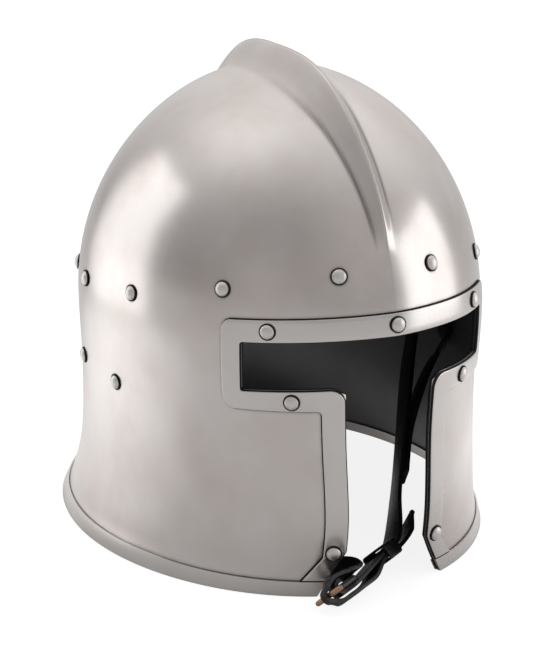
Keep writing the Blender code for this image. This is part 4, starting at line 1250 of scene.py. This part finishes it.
class BARBUTE_OT_straps(bpy.types.Operator):
    """Leather chin strap: two halves, each with a second leg"""
    bl_idname = "barbute.straps"
    bl_label = "Chin strap"

    def execute(self, context):
        rear = left_frames(4)
        strap_piece("left_strap", left_frames(16), ["strap_left"],
                    waist=(fastening_point(0.0, 0.0), 0.42, 3.5, 9.0))
        front = wall_leg(1.0, STRAP_LEGS[0]) + hidden_stations(
            ((0.822, -0.150, 0.607), (0.3, -0.5, 0.8)),
            ((0.668, -0.250, 0.521), (0.3, -0.5, 0.8)),
        ) + [beside(rear, share, JOIN_SIDE) for share in (0.27, 0.32)]
        strap_piece("left_leg", strap_frames(front, 16), ["strap_left_leg"], tip=LEG_POINT)
        rear = right_frames(3)
        strap_piece("right_strap", right_frames(15), ["strap_right"], tip=TAIL_POINT,
                    waist=(fastening_point(far_rod(), 0.0), 0.24, 5.0, 24.0))
        outward = Vector((-JOIN_SIDE.x, JOIN_SIDE.y, JOIN_SIDE.z))
        front = wall_leg(-1.0, STRAP_LEGS[0]) + [beside(rear, share, outward)
                                                 for share in (0.130, 0.145, 0.160)]
        strap_piece("right_leg", strap_frames(front, 16), ["strap_right_leg"], tip=LEG_POINT)
        return {"FINISHED"}


class BARBUTE_OT_keeper(bpy.types.Operator):
    """Leather loop round the doubled strap"""
    bl_idname = "barbute.keeper"
    bl_label = "Keeper"

    def execute(self, context):
        sizes = context.scene.barbute_sizes
        across = 0.5 * sizes.strap_width + STRAP_CLEARANCE + KEEPER_WALL
        out = sizes.strap_thickness + 0.5 * STRAP_CLEARANCE + KEEPER_SLACK + KEEPER_WALL
        bm = bmesh.new()
        bmesh.ops.create_cube(bm, size=1.0)
        bmesh.ops.scale(bm, verts=bm.verts, vec=(2.0 * across, 2.0 * out, KEEPER_LENGTH))
        corners = [e for e in bm.edges if abs(e.verts[0].co.z - e.verts[1].co.z) > 1.0]
        bevelled(bm, corners, KEEPER_CORNER, 5)
        ends = [f for f in bm.faces if abs(f.normal.z) > 0.9]
        bmesh.ops.inset_region(bm, faces=ends, thickness=KEEPER_WALL, use_even_offset=True)
        ends = [f for f in bm.faces if abs(f.normal.z) > 0.9 and len(f.verts) > 4]
        rims = [e for f in ends for e in f.edges]
        bmesh.ops.delete(bm, geom=ends, context="FACES_ONLY")
        bmesh.ops.bridge_loops(bm, edges=[e for e in rims if e.is_valid])
        bmesh.ops.recalc_face_normals(bm, faces=bm.faces)
        soft_edges(bm, SMALL_ROUNDING, 2, 60.0)
        placed(bm, fastening_point(KEEPER_DISTANCE, 0.0), (ACROSS, FACE, RUN))
        finished("keeper_loop", bm, ["black_leather"], ["strap_keeper"])
        return {"FINISHED"}


class BARBUTE_OT_buckle(bpy.types.Operator):
    """Blackened buckle frame and its bronze bar"""
    bl_idname = "barbute.buckle"
    bl_label = "Buckle"

    def execute(self, context):
        radius = context.scene.barbute_sizes.rod_radius
        low, high = far_rod(), 2.0 * radius + GAP + FRAME_NEAR_END
        half = 0.5 * FRAME_WIDTH
        bm = bmesh.new()
        loop = [bm.verts.new((x, y, 0.0))
                for x, y in ((low, -half), (high, -half), (high, half), (low, half))]
        bm.faces.new(loop)
        bevelled(bm, loop, FRAME_CORNER, 8, "VERTICES")
        path = [v.co.copy() for v in next(iter(bm.faces)).verts]
        bm.free()
        bm = bmesh.new()
        self.tube(bm, path, radius)
        for face in bm.faces:
            face.material_index = 1 if face.calc_center_median().x < low + radius else 0
        placed(bm, Vector(BUCKLE_CENTRE), (RUN, ACROSS, FACE))
        finished("frame_loop", bm, ["black_iron", "dull_bronze"], ["buckle_frame"], 50.0)
        bm = bmesh.new()
        bmesh.ops.create_cone(bm, cap_ends=True, segments=28, radius1=radius, radius2=radius,
                              depth=2.0 * (half - radius - GAP))
        soft_edges(bm, SMALL_ROUNDING, 3, 60.0)
        turn = Vector((0.0, 0.0, 1.0)).rotation_difference(ACROSS).to_matrix().to_4x4()
        bmesh.ops.transform(bm, matrix=Matrix.Translation(Vector(BUCKLE_CENTRE)) @ turn, verts=bm.verts)
        finished("roller_bar", bm, ["dull_bronze"], ["buckle_bar"])
        return {"FINISHED"}

    @staticmethod
    def tube(bm, path, radius):
        """Round rod bent along a closed flat path."""
        count = len(path)
        rings = []
        for i, place in enumerate(path):
            tangent = (path[(i + 1) % count] - path[i - 1]).normalized()
            side = tangent.cross(Vector((0.0, 0.0, 1.0)))
            ring = bmesh.ops.create_circle(bm, segments=14, radius=radius)["verts"]
            for v in ring:
                v.co = place + side * v.co.x + Vector((0.0, 0.0, 1.0)) * v.co.y
            rings.append([e for e in bm.edges if e.verts[0] in ring and e.verts[1] in ring])
        for i in range(count):
            bmesh.ops.bridge_loops(bm, edges=rings[i] + rings[(i + 1) % count])


class BARBUTE_OT_stage(bpy.types.Operator):
    """Pale floor, soft studio light and the camera"""
    bl_idname = "barbute.stage"
    bl_label = "Stage"

    def execute(self, context):
        self.floor(context.scene.barbute_colours.floor)
        self.world()
        spots = (
            # name, azimuth, distance, width, height, radiance
            ("left softbox", -127.0, 0.55, 0.30, 0.52, 1.20),
            ("right softbox", 60.0, 0.62, 0.50, 0.46, 1.22),
        )
        for spot in spots:
            self.light(*spot)
        self.camera()
        return {"FINISHED"}

    @staticmethod
    def floor(colour):
        """Round floor far wider than the view: white to the camera, and lit from panels in it."""
        bm = bmesh.new()
        bmesh.ops.create_circle(bm, cap_ends=True, segments=96, radius=9.0)
        bmesh.ops.translate(bm, verts=bm.verts, vec=(0.0, 0.0, -0.0002))
        mat, tree, body, place = shader("floor_paper")
        clouds = noise(tree, place, 3.0, 2.0, 0.5)
        tone = mixed(tree, clouds, (*colour, 1.0), shade(colour, 0.985))
        seen = tree.nodes.new("ShaderNodeLightPath").outputs["Is Camera Ray"]
        glow = seen
        panels = (
            # name, x, y, radius, strength
            ("under", 0.035, 0.01, 0.10, 1.6),
            ("left panel", -0.27, 0.21, 0.26, 1.0),
            ("right panel", 0.21, -0.02, 0.22, 0.55),
        )
        for _, x, y, radius, strength in panels:
            reach = tree.nodes.new("ShaderNodeVectorMath")
            reach.operation = "DISTANCE"
            tree.links.new(place, reach.inputs[0])
            reach.inputs[1].default_value = (x, y, 0.0)
            fall = maths(tree, "MULTIPLY_ADD", reach.outputs["Value"], -strength / radius, strength)
            glow = maths(tree, "MAXIMUM", glow, fall)
        tree.links.new(mixed(tree, seen, tone, (0.25, 0.25, 0.25, 1.0)), body.inputs["Base Color"])
        tree.links.new(mixed(tree, glow, (0.0, 0.0, 0.0, 1.0), (0.87, 0.87, 0.87, 1.0)),
                       body.inputs["Emission Color"])
        body.inputs["Emission Strength"].default_value = 1.0
        body.inputs["Roughness"].default_value = 0.75
        linked("studio_floor", mesh_of("studio_floor", bm, [mat]))

    @staticmethod
    def world():
        """Soft surround, white to the camera: paler overhead and behind, darker on the front left."""
        world = bpy.data.worlds.new("studio")
        bpy.context.scene.world = world
        world.use_nodes = True
        tree = world.node_tree
        place = tree.nodes.new("ShaderNodeTexCoord").outputs["Generated"]
        total = None
        lobes = (
            # name, azimuth, elevation, sharpness, strength
            ("overhead", 160.0, 64.0, 2.0, 0.66),
            ("behind", 145.0, 5.0, 3.0, 0.36),
            ("right rear", 110.0, 45.0, 10.0, 0.24),
            ("right", 66.0, 12.0, 8.0, 0.30),
            ("left", -140.0, 56.0, 14.0, 0.42),
            ("front", 0.0, 27.0, 7.0, 0.27),
            ("front left dark", -58.0, 34.0, 12.0, -0.10),
            ("front low", -62.0, 14.0, 9.0, 0.25),
        )
        for _, azimuth, elevation, sharpness, strength in lobes:
            node = tree.nodes.new("ShaderNodeVectorMath")
            node.operation = "DOT_PRODUCT"
            tree.links.new(place, node.inputs[0])
            node.inputs[1].default_value = way(azimuth, elevation)
            lobe = maths(tree, "POWER", maths(tree, "MAXIMUM", node.outputs["Value"], 0.0), sharpness)
            lobe = maths(tree, "MULTIPLY", lobe, strength)
            total = maths(tree, "ADD", lobe, 0.36 if total is None else total)
        seen = tree.nodes.new("ShaderNodeLightPath").outputs["Is Camera Ray"]
        total = maths(tree, "MAXIMUM", total, seen)
        glow = tree.nodes["Background"]
        tree.links.new(total, glow.inputs["Strength"])
        glow.inputs["Color"].default_value = (1.0, 0.985, 0.975, 1.0)

    @staticmethod
    def light(name, azimuth, distance, width, height, radiance):
        """Upright rectangular light standing on the floor and facing the helmet."""
        out = way(azimuth)
        data = bpy.data.lights.new(name, "AREA")
        data.shape = "RECTANGLE"
        data.size = width
        data.size_y = height
        data.energy = radiance * math.pi * width * height
        lamp = linked(name, data)
        lamp.location = out * distance + Vector((0.0, 0.0, 0.5 * height + 0.005))
        lamp.rotation_euler = out.to_track_quat("Z", "Y").to_euler()

    @staticmethod
    def camera():
        """Camera at the photograph's angle, turned so that the photograph's centre is its own."""
        back = way(CAMERA_AZIMUTH, CAMERA_ELEVATION)
        right = way(CAMERA_AZIMUTH + 90.0)
        up = back.cross(right)
        spot = (Vector((0.0, 0.0, CAMERA_TARGET_HEIGHT)) + back * CAMERA_DISTANCE + SHIFT) * MM
        aim = (-back * FOCAL_PIXELS - right * AXIS_RIGHT - up * AXIS_UP).normalized()
        across = aim.cross(Vector((0.0, 0.0, 1.0))).normalized()
        basis = Matrix((across, across.cross(aim), -aim)).transposed()
        basis = basis @ Matrix.Rotation(math.radians(CAMERA_ROLL), 3, "Z")
        data = bpy.data.cameras.new("camera")
        data.sensor_fit = "VERTICAL"
        data.sensor_height = SENSOR_HEIGHT
        data.lens = (FOCAL_PIXELS / PICTURE_HEIGHT * SENSOR_HEIGHT
                     * math.sqrt(1.0 + (AXIS_UP / FOCAL_PIXELS) ** 2))
        camera = linked("camera", data)
        camera.matrix_world = Matrix.Translation(spot) @ basis.to_4x4()
        bpy.context.scene.camera = camera
        bpy.context.scene.view_settings.view_transform = "Standard"


class BARBUTE_PT_panel(bpy.types.Panel):
    """Lists the helmet's sizes, colours and pieces"""
    bl_label = "Barbute"
    bl_idname = "BARBUTE_PT_panel"
    bl_space_type = "VIEW_3D"
    bl_region_type = "UI"
    bl_category = "Barbute"

    def draw(self, context):
        for settings in (context.scene.barbute_sizes, context.scene.barbute_colours):
            for name in settings.__annotations__:
                self.layout.prop(settings, name)
        for operator in OPERATORS:
            self.layout.operator(operator.bl_idname)


OPERATORS = (BARBUTE_OT_skull, BARBUTE_OT_strip, BARBUTE_OT_band, BARBUTE_OT_rivets, BARBUTE_OT_straps,
             BARBUTE_OT_keeper, BARBUTE_OT_buckle, BARBUTE_OT_stage)
CLASSES = (BarbuteSizes, BarbuteColours) + OPERATORS + (BARBUTE_PT_panel,)


def register():
    """Register the classes and their settings."""
    for cls in CLASSES:
        bpy.utils.register_class(cls)
    bpy.types.Scene.barbute_sizes = PointerProperty(type=BarbuteSizes)
    bpy.types.Scene.barbute_colours = PointerProperty(type=BarbuteColours)


def unregister():
    """Remove the settings and the classes."""
    del bpy.types.Scene.barbute_sizes
    del bpy.types.Scene.barbute_colours
    for cls in reversed(CLASSES):
        bpy.utils.unregister_class(cls)


def main():
    """Make every piece and the stage."""
    register()
    bpy.ops.barbute.skull()
    bpy.ops.barbute.strip()
    bpy.ops.barbute.band()
    bpy.ops.barbute.rivets()
    bpy.ops.barbute.straps()
    bpy.ops.barbute.keeper()
    bpy.ops.barbute.buckle()
    bpy.ops.barbute.stage()


if __name__ == "__main__":
    main()
